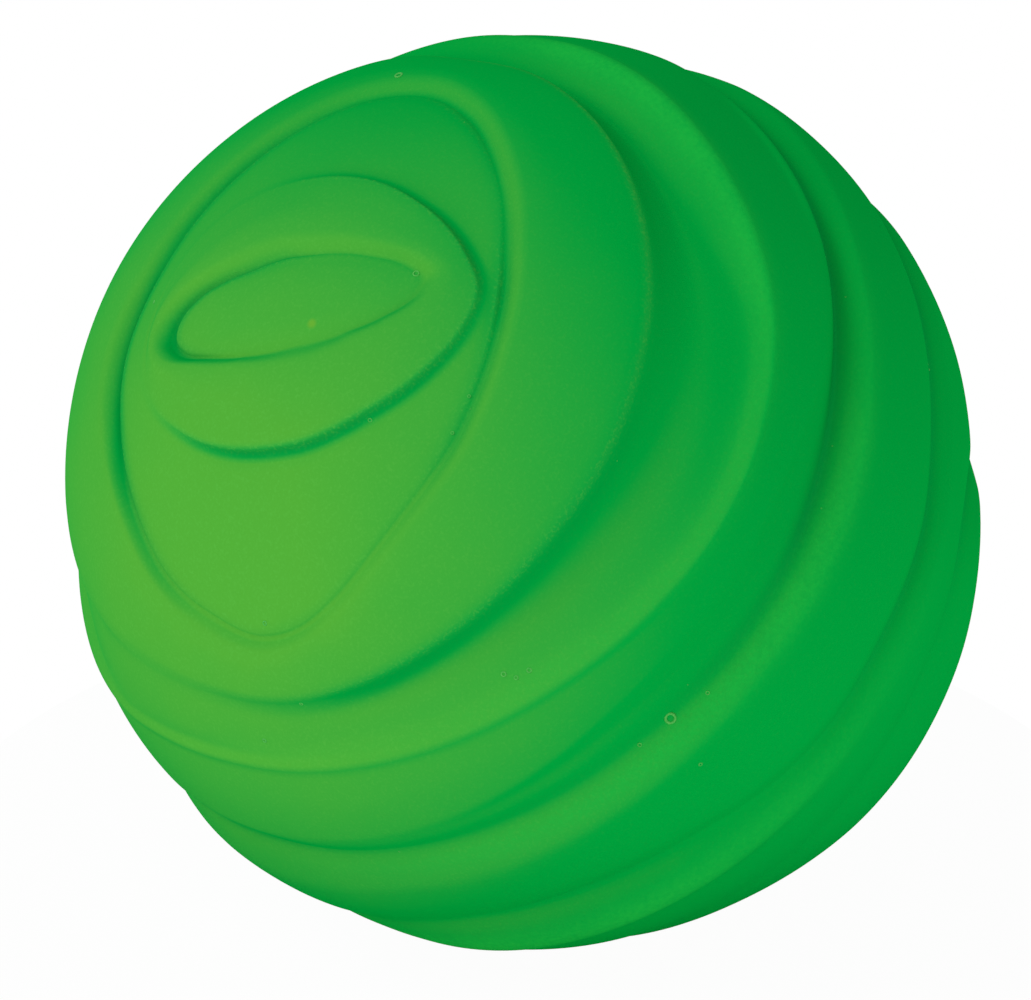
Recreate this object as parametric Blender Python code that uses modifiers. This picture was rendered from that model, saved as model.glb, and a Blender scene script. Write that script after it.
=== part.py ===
"""A hollow latex ball with a relief of nested stepped bands, and the squeaker that is buttoned into it.

The origin is the ball's centre. +Z points away from the squeaker, and -Y is the side that the
relief's eye looks out of, tilted up. All lengths are in metres and all angles in degrees.
"""

import math

import bmesh
import bpy
import numpy as np
from mathutils import Matrix, Vector

MM = 0.001

# Ball
BALL_RADIUS = 32.2 * MM  # to the middle of the relief
SKIN_WALL = 2.9 * MM  # from there to the air space
EYE_TILT = 45.0  # how far the eye's pole leans from +Z towards -Y
BACK_TURN = 30.0  # how far the rings of the back are turned from those of the front
BACK_SHARE = 0.85  # their size as a share of the front's
RELIEF = 1.0 * MM  # scale of the relief's height
SKIN_COLUMNS = 72
CAVITY_COLUMNS = 32

# Seat of the squeaker in the skin
SEAT_GAP = 0.1 * MM
SEAT_WALL = 2.2 * MM  # latex between the squeaker's two flanges
LAND_FLAT = 0.1 * MM  # how far the flat land lies inside the ball's radius
LAND_WIDTH = 1.6 * MM  # the flat ring round the squeaker
SKIRT_RISE = 2.2 * MM  # height of the sloping skirt behind the land
SKIRT_SPREAD = 2.0 * MM

# Squeaker body
BORE_RADIUS = 4.0 * MM
SLEEVE_WALL = 1.0 * MM
FLANGE_LIP = 2.4 * MM
FLANGE_THICKNESS = 1.2 * MM
FLANGE_SUNK = 0.3 * MM  # how far its face lies above the land
BARB_LIP = 1.4 * MM
BARB_THICKNESS = 0.8 * MM
BARB_SLOPE = 1.1 * MM
END_WALL = 1.2 * MM
AIR_HOLE_RADIUS = 1.2 * MM
SLEEVE_RIM = 1.7 * MM  # what the sleeve stands above the tone board
EDGE_BREAK = 0.3 * MM
TURNED_STEPS = 48

# Tone board, reed and clamp
PUSH_GAP = 0.06 * MM  # between the parts in the bore, and to its wall
REED_THICKNESS = 0.2 * MM
REED_WIDTH = 3.6 * MM
REED_FREE = 7.6 * MM
REED_ROOT = 2.8 * MM
REED_ROOM = 0.15 * MM  # on each side of its root, for the turn at the clamp's edge
CLAMP_STOP = 2.0 * MM  # solid end of the clamp, past the reed's root
BOARD_LIP = 0.6 * MM  # what the board stands past the reed's tip
BOARD_FALL = 3.0  # slope of the board away from the reed's free length
CHANNEL_WIDTH = 2.0 * MM
CHANNEL_DEPTH = 1.6 * MM
CHANNEL_COVER = 1.2 * MM  # how far the reed's tip passes the channel's closed end

# Heights of the squeaker, worked up from the land
land_z = LAND_FLAT - BALL_RADIUS
flange_face_z = land_z + FLANGE_SUNK
flange_back_z = flange_face_z + FLANGE_THICKNESS
seat_outer_z = flange_back_z + SEAT_GAP
seat_inner_z = seat_outer_z + SEAT_WALL
barb_z = seat_inner_z + SEAT_GAP
bore_floor_z = flange_face_z + END_WALL
board_foot_z = bore_floor_z + PUSH_GAP
reed_root_z = board_foot_z + CLAMP_STOP + PUSH_GAP
reed_axis_z = reed_root_z + REED_ROOT
reed_tip_z = reed_axis_z + REED_FREE
board_top_z = reed_tip_z + BOARD_LIP
sleeve_top_z = board_top_z + SLEEVE_RIM

# Radii of the squeaker, worked out from the bore
sleeve_radius = BORE_RADIUS + SLEEVE_WALL
flange_radius = sleeve_radius + FLANGE_LIP
barb_radius = sleeve_radius + BARB_LIP
recess_radius = flange_radius + SEAT_GAP
land_radius = recess_radius + LAND_WIDTH
insert_radius = BORE_RADIUS - PUSH_GAP
slot_half = REED_THICKNESS / 2 + REED_ROOM

# Rings of the relief: the polar angle from the eye's pole at some azimuths round it. Azimuth 0 is
# the ball's +X side, and 90 its upper side.
EYE_CREASE = (
    (0, 7.7), (15, 10.7), (30, 14.9), (38, 15.9), (47, 14.4), (62, 11.3), (80, 9.2), (100, 8.1),
    (125, 8.1), (140, 8.9), (155, 10.1), (170, 12.3), (180, 15.3), (190, 19.2), (198, 21.6),
    (205, 21.9), (212, 19.6), (222, 14.2), (236, 9.8), (250, 7.4), (265, 5.9), (280, 5.1),
    (295, 4.8), (312, 4.9), (330, 5.4), (345, 6.3),
)
EYE_RIM = (
    (0, 9.7), (15, 12.8), (30, 16.9), (38, 18.0), (47, 16.5), (62, 13.3), (80, 11.2), (100, 10.2),
    (125, 10.4), (140, 11.5), (155, 13.0), (170, 15.5), (180, 18.4), (190, 21.8), (198, 23.7),
    (205, 23.9), (212, 22.0), (222, 16.6), (236, 11.6), (250, 9.2), (265, 7.8), (280, 7.0),
    (295, 6.7), (312, 6.8), (330, 7.3), (345, 8.2),
)
LENS_EDGE = (
    (0, 19.3), (15, 21.2), (30, 22.5), (45, 21.3), (60, 20.1), (75, 19.2), (90, 19.0), (120, 19.7),
    (150, 22.0), (180, 25.0), (210, 26.0), (225, 24.6), (240, 22.1), (255, 20.1), (270, 18.5),
    (285, 17.4), (300, 16.9), (315, 16.6), (330, 16.8), (345, 17.8),
)
BOWL_CREASE = (
    (0, 26.1), (15, 25.6), (30, 25.7), (45, 26.6), (60, 28.6), (75, 31.2), (90, 34.6), (105, 37.4),
    (120, 37.2), (135, 34.8), (150, 32.8), (165, 31.9), (180, 31.8), (190, 32.7), (200, 33.8),
    (210, 34.3), (220, 34.6), (232, 35.6), (243, 36.9), (255, 39.0), (270, 40.4), (282, 41.3),
    (290, 40.0), (300, 36.7), (310, 33.2), (320, 30.6), (330, 28.9), (345, 27.3),
)
BOWL_CREST = (
    (0, 27.9), (15, 27.5), (30, 27.8), (45, 28.8), (60, 30.8), (75, 33.6), (90, 37.2), (105, 40.0),
    (120, 39.9), (135, 37.2), (150, 35.0), (165, 34.1), (180, 34.1), (190, 35.1), (200, 36.2),
    (210, 36.6), (220, 36.6), (232, 37.0), (243, 38.3), (255, 40.5), (270, 42.5), (285, 42.8),
    (300, 38.8), (315, 33.6), (330, 30.6), (345, 29.1),
)
BOWL_EDGE = (
    (0, 43.3), (15, 43.1), (30, 43.3), (45, 43.5), (60, 44.2), (75, 45.2), (90, 46.2), (105, 46.2),
    (120, 49.8), (150, 54.5), (180, 57.5), (210, 58.4), (225, 56.6), (240, 54.4), (255, 51.6),
    (270, 49.7), (285, 48.8), (300, 47.1), (315, 45.4), (330, 44.2), (345, 43.4),
)
BOWL_FOOT = (
    (0, 48.8), (30, 49.0), (60, 49.0), (90, 50.2), (105, 50.6), (120, 53.4), (150, 57.6),
    (180, 60.5), (210, 62.0), (225, 61.2), (240, 58.4), (255, 54.9), (270, 52.5), (285, 51.6),
    (300, 50.1), (315, 48.9), (330, 48.4), (345, 48.4),
)
RIDGE_CREST = (
    (0, 60.0), (15, 60.2), (30, 59.7), (45, 57.9), (60, 56.5), (75, 56.3), (90, 57.0), (105, 58.2),
    (120, 61.2), (150, 67.5), (180, 72.5), (210, 74.5), (225, 73.5), (240, 70.0), (255, 64.0),
    (270, 60.5), (285, 58.9), (300, 57.9), (315, 57.6), (330, 57.9), (345, 58.9),
)
SHOULDER = (
    (0, 64.8), (15, 65.2), (30, 67.6), (45, 68.8), (60, 69.0), (75, 70.2), (90, 72.4), (120, 77.8),
    (150, 81.5), (180, 84.0), (210, 84.5), (240, 80.6), (255, 75.4), (270, 72.6), (285, 70.7),
    (300, 68.6), (315, 66.6), (330, 65.0), (345, 64.5),
)
NARROW_CREASE = (
    (0, 71.9), (15, 72.0), (30, 71.9), (45, 72.4), (60, 72.9), (75, 74.0), (90, 77.4), (120, 83.0),
    (150, 85.3), (180, 88.0), (210, 88.8), (240, 85.6), (255, 80.2), (270, 75.8), (285, 74.2),
    (300, 73.0), (315, 72.0), (330, 71.4), (345, 71.6),
)
BROAD_CREST = (
    (0, 76.4), (30, 75.6), (45, 75.6), (60, 77.2), (75, 79.0), (90, 82.0), (120, 86.2), (150, 89.5),
    (180, 92.5), (210, 93.5), (240, 92.0), (255, 89.0), (270, 85.5), (285, 82.0), (300, 80.0),
    (315, 78.2), (330, 77.2), (345, 76.6),
)
WAIST_CREASE = (
    (0, 94.0), (15, 94.2), (30, 92.8), (45, 93.2), (60, 94.2), (68, 96.2), (80, 98.2), (120, 100.4),
    (150, 101.5), (180, 103.2), (210, 104.2), (240, 103.7), (260, 101.0), (272, 97.6), (285, 92.8),
    (300, 90.8), (315, 90.4), (328, 91.4), (338, 93.4), (348, 94.4),
)
WAIST_RIM = (
    (0, 98.0), (15, 97.2), (30, 97.0), (45, 97.0), (60, 98.2), (80, 102.2), (120, 104.4), (150, 105.5),
    (180, 107.2), (210, 108.2), (240, 107.7), (260, 105.2), (275, 101.4), (285, 99.6), (300, 98.4),
    (315, 98.0), (330, 98.1), (345, 98.3),
)
FAR_CREASE = (
    (0, 110.4), (8, 109.4), (15, 108.5), (23, 108.0), (30, 110.2), (35, 113.8), (42, 117.6),
    (60, 118.0), (90, 117.0), (120, 117.5), (150, 118.5), (180, 120.0), (210, 121.5), (240, 122.0),
    (270, 122.0), (290, 121.0), (305, 117.4), (318, 115.0), (330, 113.8), (345, 112.0),
)
FAR_RIM = (
    (0, 121.0), (10, 117.5), (18, 113.2), (23, 112.8), (30, 115.4), (35, 119.0), (42, 122.2),
    (60, 122.2), (90, 121.2), (120, 121.7), (150, 122.7), (180, 124.2), (210, 125.7), (240, 126.2),
    (270, 126.5), (295, 126.0), (310, 125.2), (330, 124.0), (350, 122.8),
)

# Heights of the relief, as shares of RELIEF, at some azimuths where they change round the ball
EYE_DEPTH = (
    (0, -0.32), (40, -0.36), (110, -0.42), (150, -0.58), (180, -0.75), (205, -0.88), (218, -0.56),
    (230, -0.4), (270, -0.32),
)
LENS_STEP = (
    (0, 0.85), (15, 0.65), (30, 0.7), (45, 1.15), (60, 1.4), (75, 1.6), (90, 1.4), (105, 1.0),
    (120, 0.5), (135, 0.12), (150, 0.0), (180, 0.0), (222, 0.0), (232, 0.3), (240, 0.6), (252, 1.0),
    (270, 1.25), (285, 1.25), (300, 1.15), (330, 1.0),
)
BOWL_DEPTH = (
    (0, -0.6), (15, -0.62), (30, -0.74), (45, -0.62), (60, -0.54), (90, -0.6), (110, -0.5),
    (130, -0.6), (150, -0.8), (180, -0.95), (195, -1.35), (210, -1.4), (225, -0.95), (240, -0.62),
    (255, -0.52), (270, -0.46), (285, -0.4), (300, -0.26), (315, -0.28), (330, -0.44), (345, -0.58),
)
BOWL_BULGE = ((0, 0.0), (60, 0.0), (120, 0.05), (150, 0.2), (180, 0.3), (205, 0.12), (240, 0.0), (300, 0.0))
FLOOR_LIFT = (
    (0, 0.0), (120, 0.0), (240, 0.0), (255, 0.1), (270, 0.2), (285, 0.26), (300, 0.34), (315, 0.3),
    (330, 0.14), (345, 0.0),
)
RIDGE_RISE = (
    (0, 2.6), (20, 2.8), (32, 3.6), (45, 5.6), (60, 6.4), (75, 6.6), (90, 6.2), (105, 5.8), (120, 4.5),
    (150, 3.0), (240, 3.0), (300, 3.6), (330, 3.4),
)
VALLEY_DEPTH = (
    (0, -0.34), (180, -0.34), (232, -0.34), (244, -0.14), (262, -0.05), (280, -0.18), (300, -0.3),
)
RIDGE_FLANK = (
    (0, 0.06), (30, -0.04), (45, -0.3), (60, -0.5), (75, -0.52), (90, -0.4), (105, -0.1), (120, 0.0),
    (150, 0.12), (250, 0.08), (330, 0.06),
)
RIDGE_LIFT = (
    (0, 0.08), (30, 0.16), (45, 0.34), (60, 0.42), (75, 0.42), (90, 0.3), (100, 0.14), (110, 0.04),
    (126, -0.1), (150, 0.0), (205, 0.05), (222, 0.15), (232, 0.05), (242, -0.14), (256, -0.18),
    (270, -0.2), (300, -0.18), (320, -0.15), (340, 0.0),
)
FOOT_DEPTH = (
    (0, -1.2), (30, -1.15), (55, -1.4), (75, -1.5), (95, -1.35), (108, -1.0), (125, -0.62), (180, -0.52),
    (228, -0.5), (236, -0.36), (246, -0.1), (256, 0.0), (266, -0.06), (276, -0.2), (285, -0.32),
    (300, -0.55), (320, -0.8), (345, -1.15),
)
SHOULDER_LIFT = (
    (0, 0.0), (25, 0.0), (42, -0.16), (58, -0.36), (74, -0.32), (88, 0.06), (108, 0.17), (140, 0.08),
    (200, 0.0), (238, 0.06), (249, -0.12), (265, -0.1), (290, 0.0),
)
TERRACE = (
    (0, 1.0), (14, 0.5), (28, 0.04), (38, 0.0), (90, 0.0), (180, 0.0), (284, 0.0), (302, 0.05), (318, 0.6),
    (335, 1.0), (350, 1.0),
)
BROAD_TOP = (
    (0, 0.78), (20, 0.55), (40, 0.34), (66, 0.28), (78, 0.42), (90, 0.26), (110, 0.3), (200, 0.3),
    (270, 0.26), (290, 0.26), (305, 0.44), (320, 0.66), (340, 0.85),
)
NARROW_DEPTH = (
    (0, -0.84), (12, -1.25), (30, -1.5), (45, -1.3), (60, -0.9), (75, -1.0), (90, -0.8), (150, -0.65),
    (238, -0.66), (252, -0.9), (266, -0.6), (285, -0.5), (300, -0.54), (315, -0.6), (330, -0.56),
    (345, -0.7),
)
WAIST_DEPTH = (
    (0, -0.75), (20, -0.85), (45, -0.85), (70, -0.65), (120, -0.6), (240, -0.55), (270, -0.46),
    (285, -0.36), (300, -0.5), (315, -0.55), (330, -0.45), (348, -0.58),
)
WAIST_CREST = (
    (0, 0.25), (15, 0.12), (30, -0.1), (40, -0.2), (48, -0.06), (60, 0.05), (90, 0.2), (120, 0.3),
    (240, 0.3), (262, 0.05), (275, -0.06), (281, 0.14), (287, 0.45), (296, 0.8), (310, 1.0),
    (325, 0.9), (340, 0.55), (350, 0.35),
)
WAIST_DROP = (
    (0, 0.1), (60, 0.03), (180, 0.03), (260, 0.1), (280, 0.2), (290, 0.5), (305, 0.85), (325, 0.8),
    (345, 0.3),
)
FAR_DEPTH = (
    (0, -0.4), (12, -0.55), (23, -0.75), (35, -0.85), (50, -0.75), (90, -0.7), (270, -0.6),
    (290, -0.35), (305, -0.1), (320, 0.0), (335, 0.02), (350, -0.2),
)
FAR_CREST = (
    (0, 0.9), (10, 0.75), (18, 0.5), (24, 0.28), (32, -0.05), (40, -0.25), (50, 0.0), (70, 0.2),
    (90, 0.3), (180, 0.3), (270, 0.3), (300, 0.36), (320, 0.46), (330, 0.7), (340, 0.95), (350, 1.0),
)

# Places beside the rings, in degrees of polar angle
LENS_FALL = (0.55, 1.9)
BOWL_LIP = 0.8
VALLEY_WIDTH = 7.0
RIDGE_FALL = 1.0
WAIST_FALL = 4.0
FAR_FALL = 5.0


def ring(knots, azimuths):
    """The polar angles at the azimuths, on a smooth closed curve through the knots."""
    at, value = np.array(knots, float).T
    at = np.concatenate([at[-2:] - 360, at, at[:3] + 360])
    value = np.concatenate([value[-2:], value, value[:3]])
    run, rise = np.diff(at), np.diff(value)
    slope = (rise[1:] / run[1:] * run[:-1] + rise[:-1] / run[:-1] * run[1:]) / (run[:-1] + run[1:])
    turn = np.asarray(azimuths, float) % 360
    i = np.searchsorted(at, turn, side="right") - 1
    s = (turn - at[i]) / run[i]
    start, end = slope[i - 1] * run[i], slope[i] * run[i]
    return (
        value[i] * (1 + 2 * s) * (1 - s) ** 2
        + start * s * (1 - s) ** 2
        + value[i + 1] * s**2 * (3 - 2 * s)
        + end * s**2 * (s - 1)
    )


def between(low, high, share):
    return low + (high - low) * share


def front_rows(azimuths):
    """(polar angles, heights as shares of RELIEF) of each row, from the eye's pole to the bowl's foot."""
    eye = ring(EYE_CREASE, azimuths)
    eye_rim = ring(EYE_RIM, azimuths)
    lens = ring(LENS_EDGE, azimuths)
    bowl = ring(BOWL_CREASE, azimuths)
    rim = ring(BOWL_CREST, azimuths)
    edge = ring(BOWL_EDGE, azimuths)
    foot = ring(BOWL_FOOT, azimuths)
    foot_depth = ring(FOOT_DEPTH, azimuths)
    step = ring(LENS_STEP, azimuths)
    floor_lift = ring(FLOOR_LIFT, azimuths)
    eye_depth = ring(EYE_DEPTH, azimuths)
    bowl_depth = ring(BOWL_DEPTH, azimuths)
    bulge = ring(BOWL_BULGE, azimuths)
    lip = np.maximum(bowl - BOWL_LIP, between(lens, bowl, 0.75))
    lens_foot = np.minimum(lens + LENS_FALL[1], between(lens, lip, 0.7))
    lens_drop = np.minimum(lens + LENS_FALL[0], between(lens, lip, 0.25))
    return [
        (between(0, eye, 0.35), -0.12),
        (between(0, eye, 0.7), -0.18),
        (between(0, eye, 0.93), -0.28),
        (eye, eye_depth),
        (between(eye, eye_rim, 0.5), between(eye_depth, 0.24, 0.6)),
        (eye_rim, 0.24),
        (between(eye_rim, lens, 0.35), 0.32),
        (between(eye_rim, lens, 0.7), between(0.16, 0.26, step)),
        (between(eye_rim, lens, 0.93), between(0.04, 0.18, step)),
        (lens, between(0.0, 0.12, step)),
        (lens_drop, between(-0.04, -0.3, step)),
        (lens_foot, between(-0.14, -0.54, step) + floor_lift / 2),
        (lip, between(-0.36, -0.48, step.clip(0, 1)) + floor_lift),
        (bowl, bowl_depth),
        (between(bowl, rim, 0.5), between(bowl_depth, 0.32, 0.62)),
        (rim, 0.32),
        (between(rim, edge, 0.3), bulge + 0.43),
        (between(rim, edge, 0.65), bulge + 0.4),
        (between(rim, edge, 0.92), 0.33),
        (edge, 0.24),
        (between(edge, foot, 0.45), between(0.24, foot_depth, 0.72)),
        (foot, foot_depth),
    ]


def middle_rows(azimuths):
    """The same from the ridge's valley to the far crease's crest, round the ball's waist."""
    foot = ring(BOWL_FOOT, azimuths)
    ridge = ring(RIDGE_CREST, azimuths)
    shoulder = ring(SHOULDER, azimuths)
    narrow = ring(NARROW_CREASE, azimuths)
    broad = ring(BROAD_CREST, azimuths)
    waist = ring(WAIST_CREASE, azimuths)
    far = ring(FAR_CREASE, azimuths)
    rise = ring(RIDGE_RISE, azimuths)
    valley = ring(VALLEY_DEPTH, azimuths)
    flank = ring(RIDGE_FLANK, azimuths)
    ridge_lift = ring(RIDGE_LIFT, azimuths)
    foot_depth = ring(FOOT_DEPTH, azimuths)
    shoulder_lift = ring(SHOULDER_LIFT, azimuths)
    terrace = ring(TERRACE, azimuths)
    narrow_depth = ring(NARROW_DEPTH, azimuths)
    broad_top = ring(BROAD_TOP, azimuths)
    waist_rim = ring(WAIST_RIM, azimuths)
    waist_depth = ring(WAIST_DEPTH, azimuths)
    waist_crest = ring(WAIST_CREST, azimuths)
    waist_drop = ring(WAIST_DROP, azimuths)
    far_rim = ring(FAR_RIM, azimuths)
    far_depth = ring(FAR_DEPTH, azimuths)
    far_crest = ring(FAR_CREST, azimuths)
    back_foot = 180 - BACK_SHARE * ring(BOWL_FOOT, azimuths + BACK_TURN)
    rise_start = np.maximum(ridge - rise, between(foot, ridge, 0.12))
    start_height = between(foot_depth, valley, ((rise_start - foot) / VALLEY_WIDTH).clip(0, 1))
    return [
        (between(foot, rise_start, 0.5), between(foot_depth, start_height, 0.5)),
        (rise_start, start_height),
        (ridge - 0.42 * rise, ridge_lift + flank),
        (ridge, ridge_lift + 0.38),
        (ridge + RIDGE_FALL, ridge_lift + 0.2),
        (between(ridge, shoulder, 0.6), between(ridge_lift + 0.38, shoulder_lift + 0.06, 0.78)),
        (shoulder, shoulder_lift + 0.06),
        (between(shoulder, narrow, 0.3), between(0.06, narrow_depth, between(0.2, 0.62, terrace))),
        (between(shoulder, narrow, 0.6), between(0.06, narrow_depth, between(0.5, 0.66, terrace))),
        (narrow, narrow_depth),
        (between(narrow, broad, 0.5), between(narrow_depth, broad_top, 0.58)),
        (broad, broad_top),
        (between(broad, waist - WAIST_FALL, 0.6), between(broad_top, waist_depth, 0.15)),
        (waist - WAIST_FALL, between(broad_top, waist_depth, 0.4)),
        (waist - WAIST_FALL / 2, between(broad_top, waist_depth, 0.7)),
        (waist, waist_depth),
        (between(waist, waist_rim, 0.45), between(waist_depth, waist_crest, 0.6)),
        (waist_rim, waist_crest),
        (between(waist_rim, far - FAR_FALL, 0.45), waist_crest - waist_drop),
        (far - FAR_FALL, between(waist_crest - waist_drop, far_depth, 0.25)),
        (far - FAR_FALL / 2, between(waist_crest - waist_drop, far_depth, 0.6)),
        (far, far_depth),
        (between(far, far_rim, 0.4), between(far_depth, far_crest, 0.5)),
        (far_rim, far_crest),
        (between(far_rim, back_foot, 0.3), far_crest - 0.08),
        (between(far_rim, back_foot, 0.6), -0.05),
        (between(far_rim, back_foot, 0.85), -0.38),
    ]


def relief_rows(azimuths):
    """All rows of the relief from pole to pole: the back repeats the front's rings, turned and smaller."""
    front = front_rows(azimuths)
    back = [
        (180 - BACK_SHARE * polar, height)
        for polar, height in reversed(front_rows(azimuths + BACK_TURN))
    ]
    return front + middle_rows(azimuths) + back


def sphere_point(radius, azimuth, polar):
    azimuth, polar = math.radians(azimuth), math.radians(polar)
    flat = radius * math.sin(polar)
    return Vector((flat * math.cos(azimuth), flat * math.sin(azimuth), radius * math.cos(polar)))


def new_object(name, mesh, collection, material=None):
    obj = bpy.data.objects.new(name, mesh)
    collection.objects.link(obj)
    if material:
        mesh.materials.append(material)
        mesh.shade_smooth()
        mesh.set_sharp_from_angle(angle=math.radians(40))
    else:
        obj.hide_render = True
        obj.display_type = "WIRE"
    return obj


def mesh_from(bm, name):
    mesh = bpy.data.meshes.new(name)
    bm.to_mesh(mesh)
    bm.free()
    return mesh


def boolean(obj, other, operation):
    modifier = obj.modifiers.new(other.name, "BOOLEAN")
    modifier.operation = operation
    modifier.solver = "EXACT"
    modifier.object = other


def plastic(name, colour, roughness):
    material = bpy.data.materials.new(name)
    material.use_nodes = True
    shader = material.node_tree.nodes["Principled BSDF"]
    shader.inputs["Base Color"].default_value = (*colour, 1.0)
    shader.inputs["Roughness"].default_value = roughness
    shader.inputs["Metallic"].default_value = 0.0
    return material


def cone_between(name, collection, low_z, high_z, low_radius, high_radius, steps=TURNED_STEPS):
    """A hidden cylinder or cone on the Z axis, used to join or cut."""
    bm = bmesh.new()
    bmesh.ops.create_cone(
        bm, cap_ends=True, segments=steps, radius1=low_radius, radius2=high_radius, depth=high_z - low_z
    )
    bmesh.ops.translate(bm, verts=bm.verts, vec=(0, 0, (low_z + high_z) / 2))
    return new_object(name, mesh_from(bm, name), collection)


def box_between(name, collection, low, high):
    """A hidden box from its low corner to its high corner."""
    bm = bmesh.new()
    bmesh.ops.create_cube(bm, size=1.0)
    low, high = Vector(low), Vector(high)
    bmesh.ops.scale(bm, verts=bm.verts, vec=high - low)
    bmesh.ops.translate(bm, verts=bm.verts, vec=(low + high) / 2)
    return new_object(name, mesh_from(bm, name), collection)


def make_relief_mesh():
    """A UV sphere whose rows of vertices are moved onto the rings of the relief."""
    azimuths = np.arange(SKIN_COLUMNS) * 360 / SKIN_COLUMNS
    rows = relief_rows(azimuths)
    bm = bmesh.new()
    bmesh.ops.create_uvsphere(bm, u_segments=SKIN_COLUMNS, v_segments=len(rows) + 1, radius=1.0)
    for vertex in bm.verts:
        turn = math.degrees(math.atan2(vertex.co.y, vertex.co.x))
        column = round(turn * SKIN_COLUMNS / 360) % SKIN_COLUMNS
        row = round(math.acos(max(-1.0, min(1.0, vertex.co.z))) / math.pi * (len(rows) + 1))
        if row in (0, len(rows) + 1):
            vertex.co *= BALL_RADIUS + rows[0][1] * RELIEF
            continue
        polar, height = rows[row - 1]
        radius = BALL_RADIUS + RELIEF * (height[column] if np.ndim(height) else height)
        vertex.co = sphere_point(radius, azimuths[column], polar[column])
    bmesh.ops.rotate(bm, verts=bm.verts, matrix=Matrix.Rotation(math.radians(EYE_TILT), 3, "X"))
    return mesh_from(bm, "ball_skin")


def make_cavity(cutters):
    """The air space: a sphere with a flat floor for the squeaker's barb."""
    bm = bmesh.new()
    radius = BALL_RADIUS - SKIN_WALL
    bmesh.ops.create_uvsphere(bm, u_segments=CAVITY_COLUMNS, v_segments=CAVITY_COLUMNS // 2, radius=radius)
    everything = bm.verts[:] + bm.edges[:] + bm.faces[:]
    cut = bmesh.ops.bisect_plane(
        bm, geom=everything, plane_co=(0, 0, seat_inner_z), plane_no=(0, 0, -1), clear_outer=True
    )
    rim = [piece for piece in cut["geom_cut"] if isinstance(piece, bmesh.types.BMEdge)]
    bmesh.ops.edgeloop_fill(bm, edges=rim)
    bmesh.ops.recalc_face_normals(bm, faces=bm.faces)
    return new_object("air_space", mesh_from(bm, "air_space"), cutters)


def make_skin(parts, cutters, material):
    past = SKIN_WALL
    skin = new_object("ball_skin", make_relief_mesh(), parts, material)
    skirt_slope = SKIRT_SPREAD / SKIRT_RISE
    skirt = cone_between(
        "land_skirt",
        cutters,
        land_z - past,
        land_z + SKIRT_RISE,
        land_radius - past * skirt_slope,
        land_radius + SKIRT_SPREAD,
    )
    boolean(skin, skirt, "UNION")
    below = box_between(
        "land_cut",
        cutters,
        (-BALL_RADIUS, -BALL_RADIUS, land_z - 2 * past),
        (BALL_RADIUS, BALL_RADIUS, land_z),
    )
    boolean(skin, below, "DIFFERENCE")
    boolean(skin, make_cavity(cutters), "DIFFERENCE")
    recess = cone_between("flange_recess", cutters, land_z - past, seat_outer_z, recess_radius, recess_radius)
    boolean(skin, recess, "DIFFERENCE")
    hole_radius = sleeve_radius + SEAT_GAP
    hole = cone_between("sleeve_hole", cutters, land_z - past, seat_inner_z + past, hole_radius, hole_radius)
    boolean(skin, hole, "DIFFERENCE")
    return skin


def make_squeaker_body(parts, material):
    """The flanged sleeve: a closed profile turned about Z, with the air hole through its end wall."""
    profile = (
        (BORE_RADIUS, sleeve_top_z),
        (sleeve_radius - EDGE_BREAK, sleeve_top_z),
        (sleeve_radius, sleeve_top_z - EDGE_BREAK),
        (sleeve_radius, barb_z + BARB_THICKNESS + BARB_SLOPE),
        (barb_radius, barb_z + BARB_THICKNESS),
        (barb_radius, barb_z),
        (sleeve_radius, barb_z),
        (sleeve_radius, flange_back_z),
        (flange_radius, flange_back_z),
        (flange_radius, flange_face_z + EDGE_BREAK),
        (flange_radius - EDGE_BREAK, flange_face_z),
        (AIR_HOLE_RADIUS, flange_face_z),
        (AIR_HOLE_RADIUS, bore_floor_z),
        (BORE_RADIUS, bore_floor_z),
    )
    bm = bmesh.new()
    corners = [bm.verts.new((x, 0, z)) for x, z in profile]
    for corner, after in zip(corners, corners[1:] + corners[:1]):
        bm.edges.new((corner, after))
    body = new_object("squeaker_body", mesh_from(bm, "squeaker_body"), parts, material)
    screw = body.modifiers.new("turn", "SCREW")
    screw.steps = TURNED_STEPS
    screw.render_steps = TURNED_STEPS
    screw.use_merge_vertices = True
    screw.merge_threshold = 0.001 * MM
    return body


def make_insert(name, parts, material, top_z):
    """A plain round plug for the bore, from the tone board's foot up to a height."""
    bm = bmesh.new()
    bmesh.ops.create_cone(
        bm,
        cap_ends=True,
        segments=TURNED_STEPS,
        radius1=insert_radius,
        radius2=insert_radius,
        depth=top_z - board_foot_z,
    )
    bmesh.ops.translate(bm, verts=bm.verts, vec=(0, 0, (top_z + board_foot_z) / 2))
    return new_object(name, mesh_from(bm, name), parts, material)


def make_tone_board(parts, cutters, material):
    """The half of the plug behind the reed, with a face that falls away from it and the sound channel."""
    board = make_insert("tone_board", parts, material, board_top_z)
    wide = 2 * BORE_RADIUS
    lower = (-wide, -slot_half, board_foot_z - wide)
    upper = (wide, wide, board_top_z + wide)
    boolean(board, box_between("board_face_cut", cutters, lower, upper), "DIFFERENCE")
    fall = box_between("board_fall_cut", cutters, (-wide, 0, 0), (wide, wide, 4 * wide))
    fall.location = (0, -slot_half, reed_axis_z)
    fall.rotation_euler = (math.radians(BOARD_FALL), 0, 0)
    boolean(board, fall, "DIFFERENCE")
    channel = box_between(
        "channel_cut",
        cutters,
        (-CHANNEL_WIDTH / 2, -slot_half - CHANNEL_DEPTH, board_foot_z - wide),
        (CHANNEL_WIDTH / 2, wide, reed_tip_z - CHANNEL_COVER),
    )
    boolean(board, channel, "DIFFERENCE")
    return board


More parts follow.
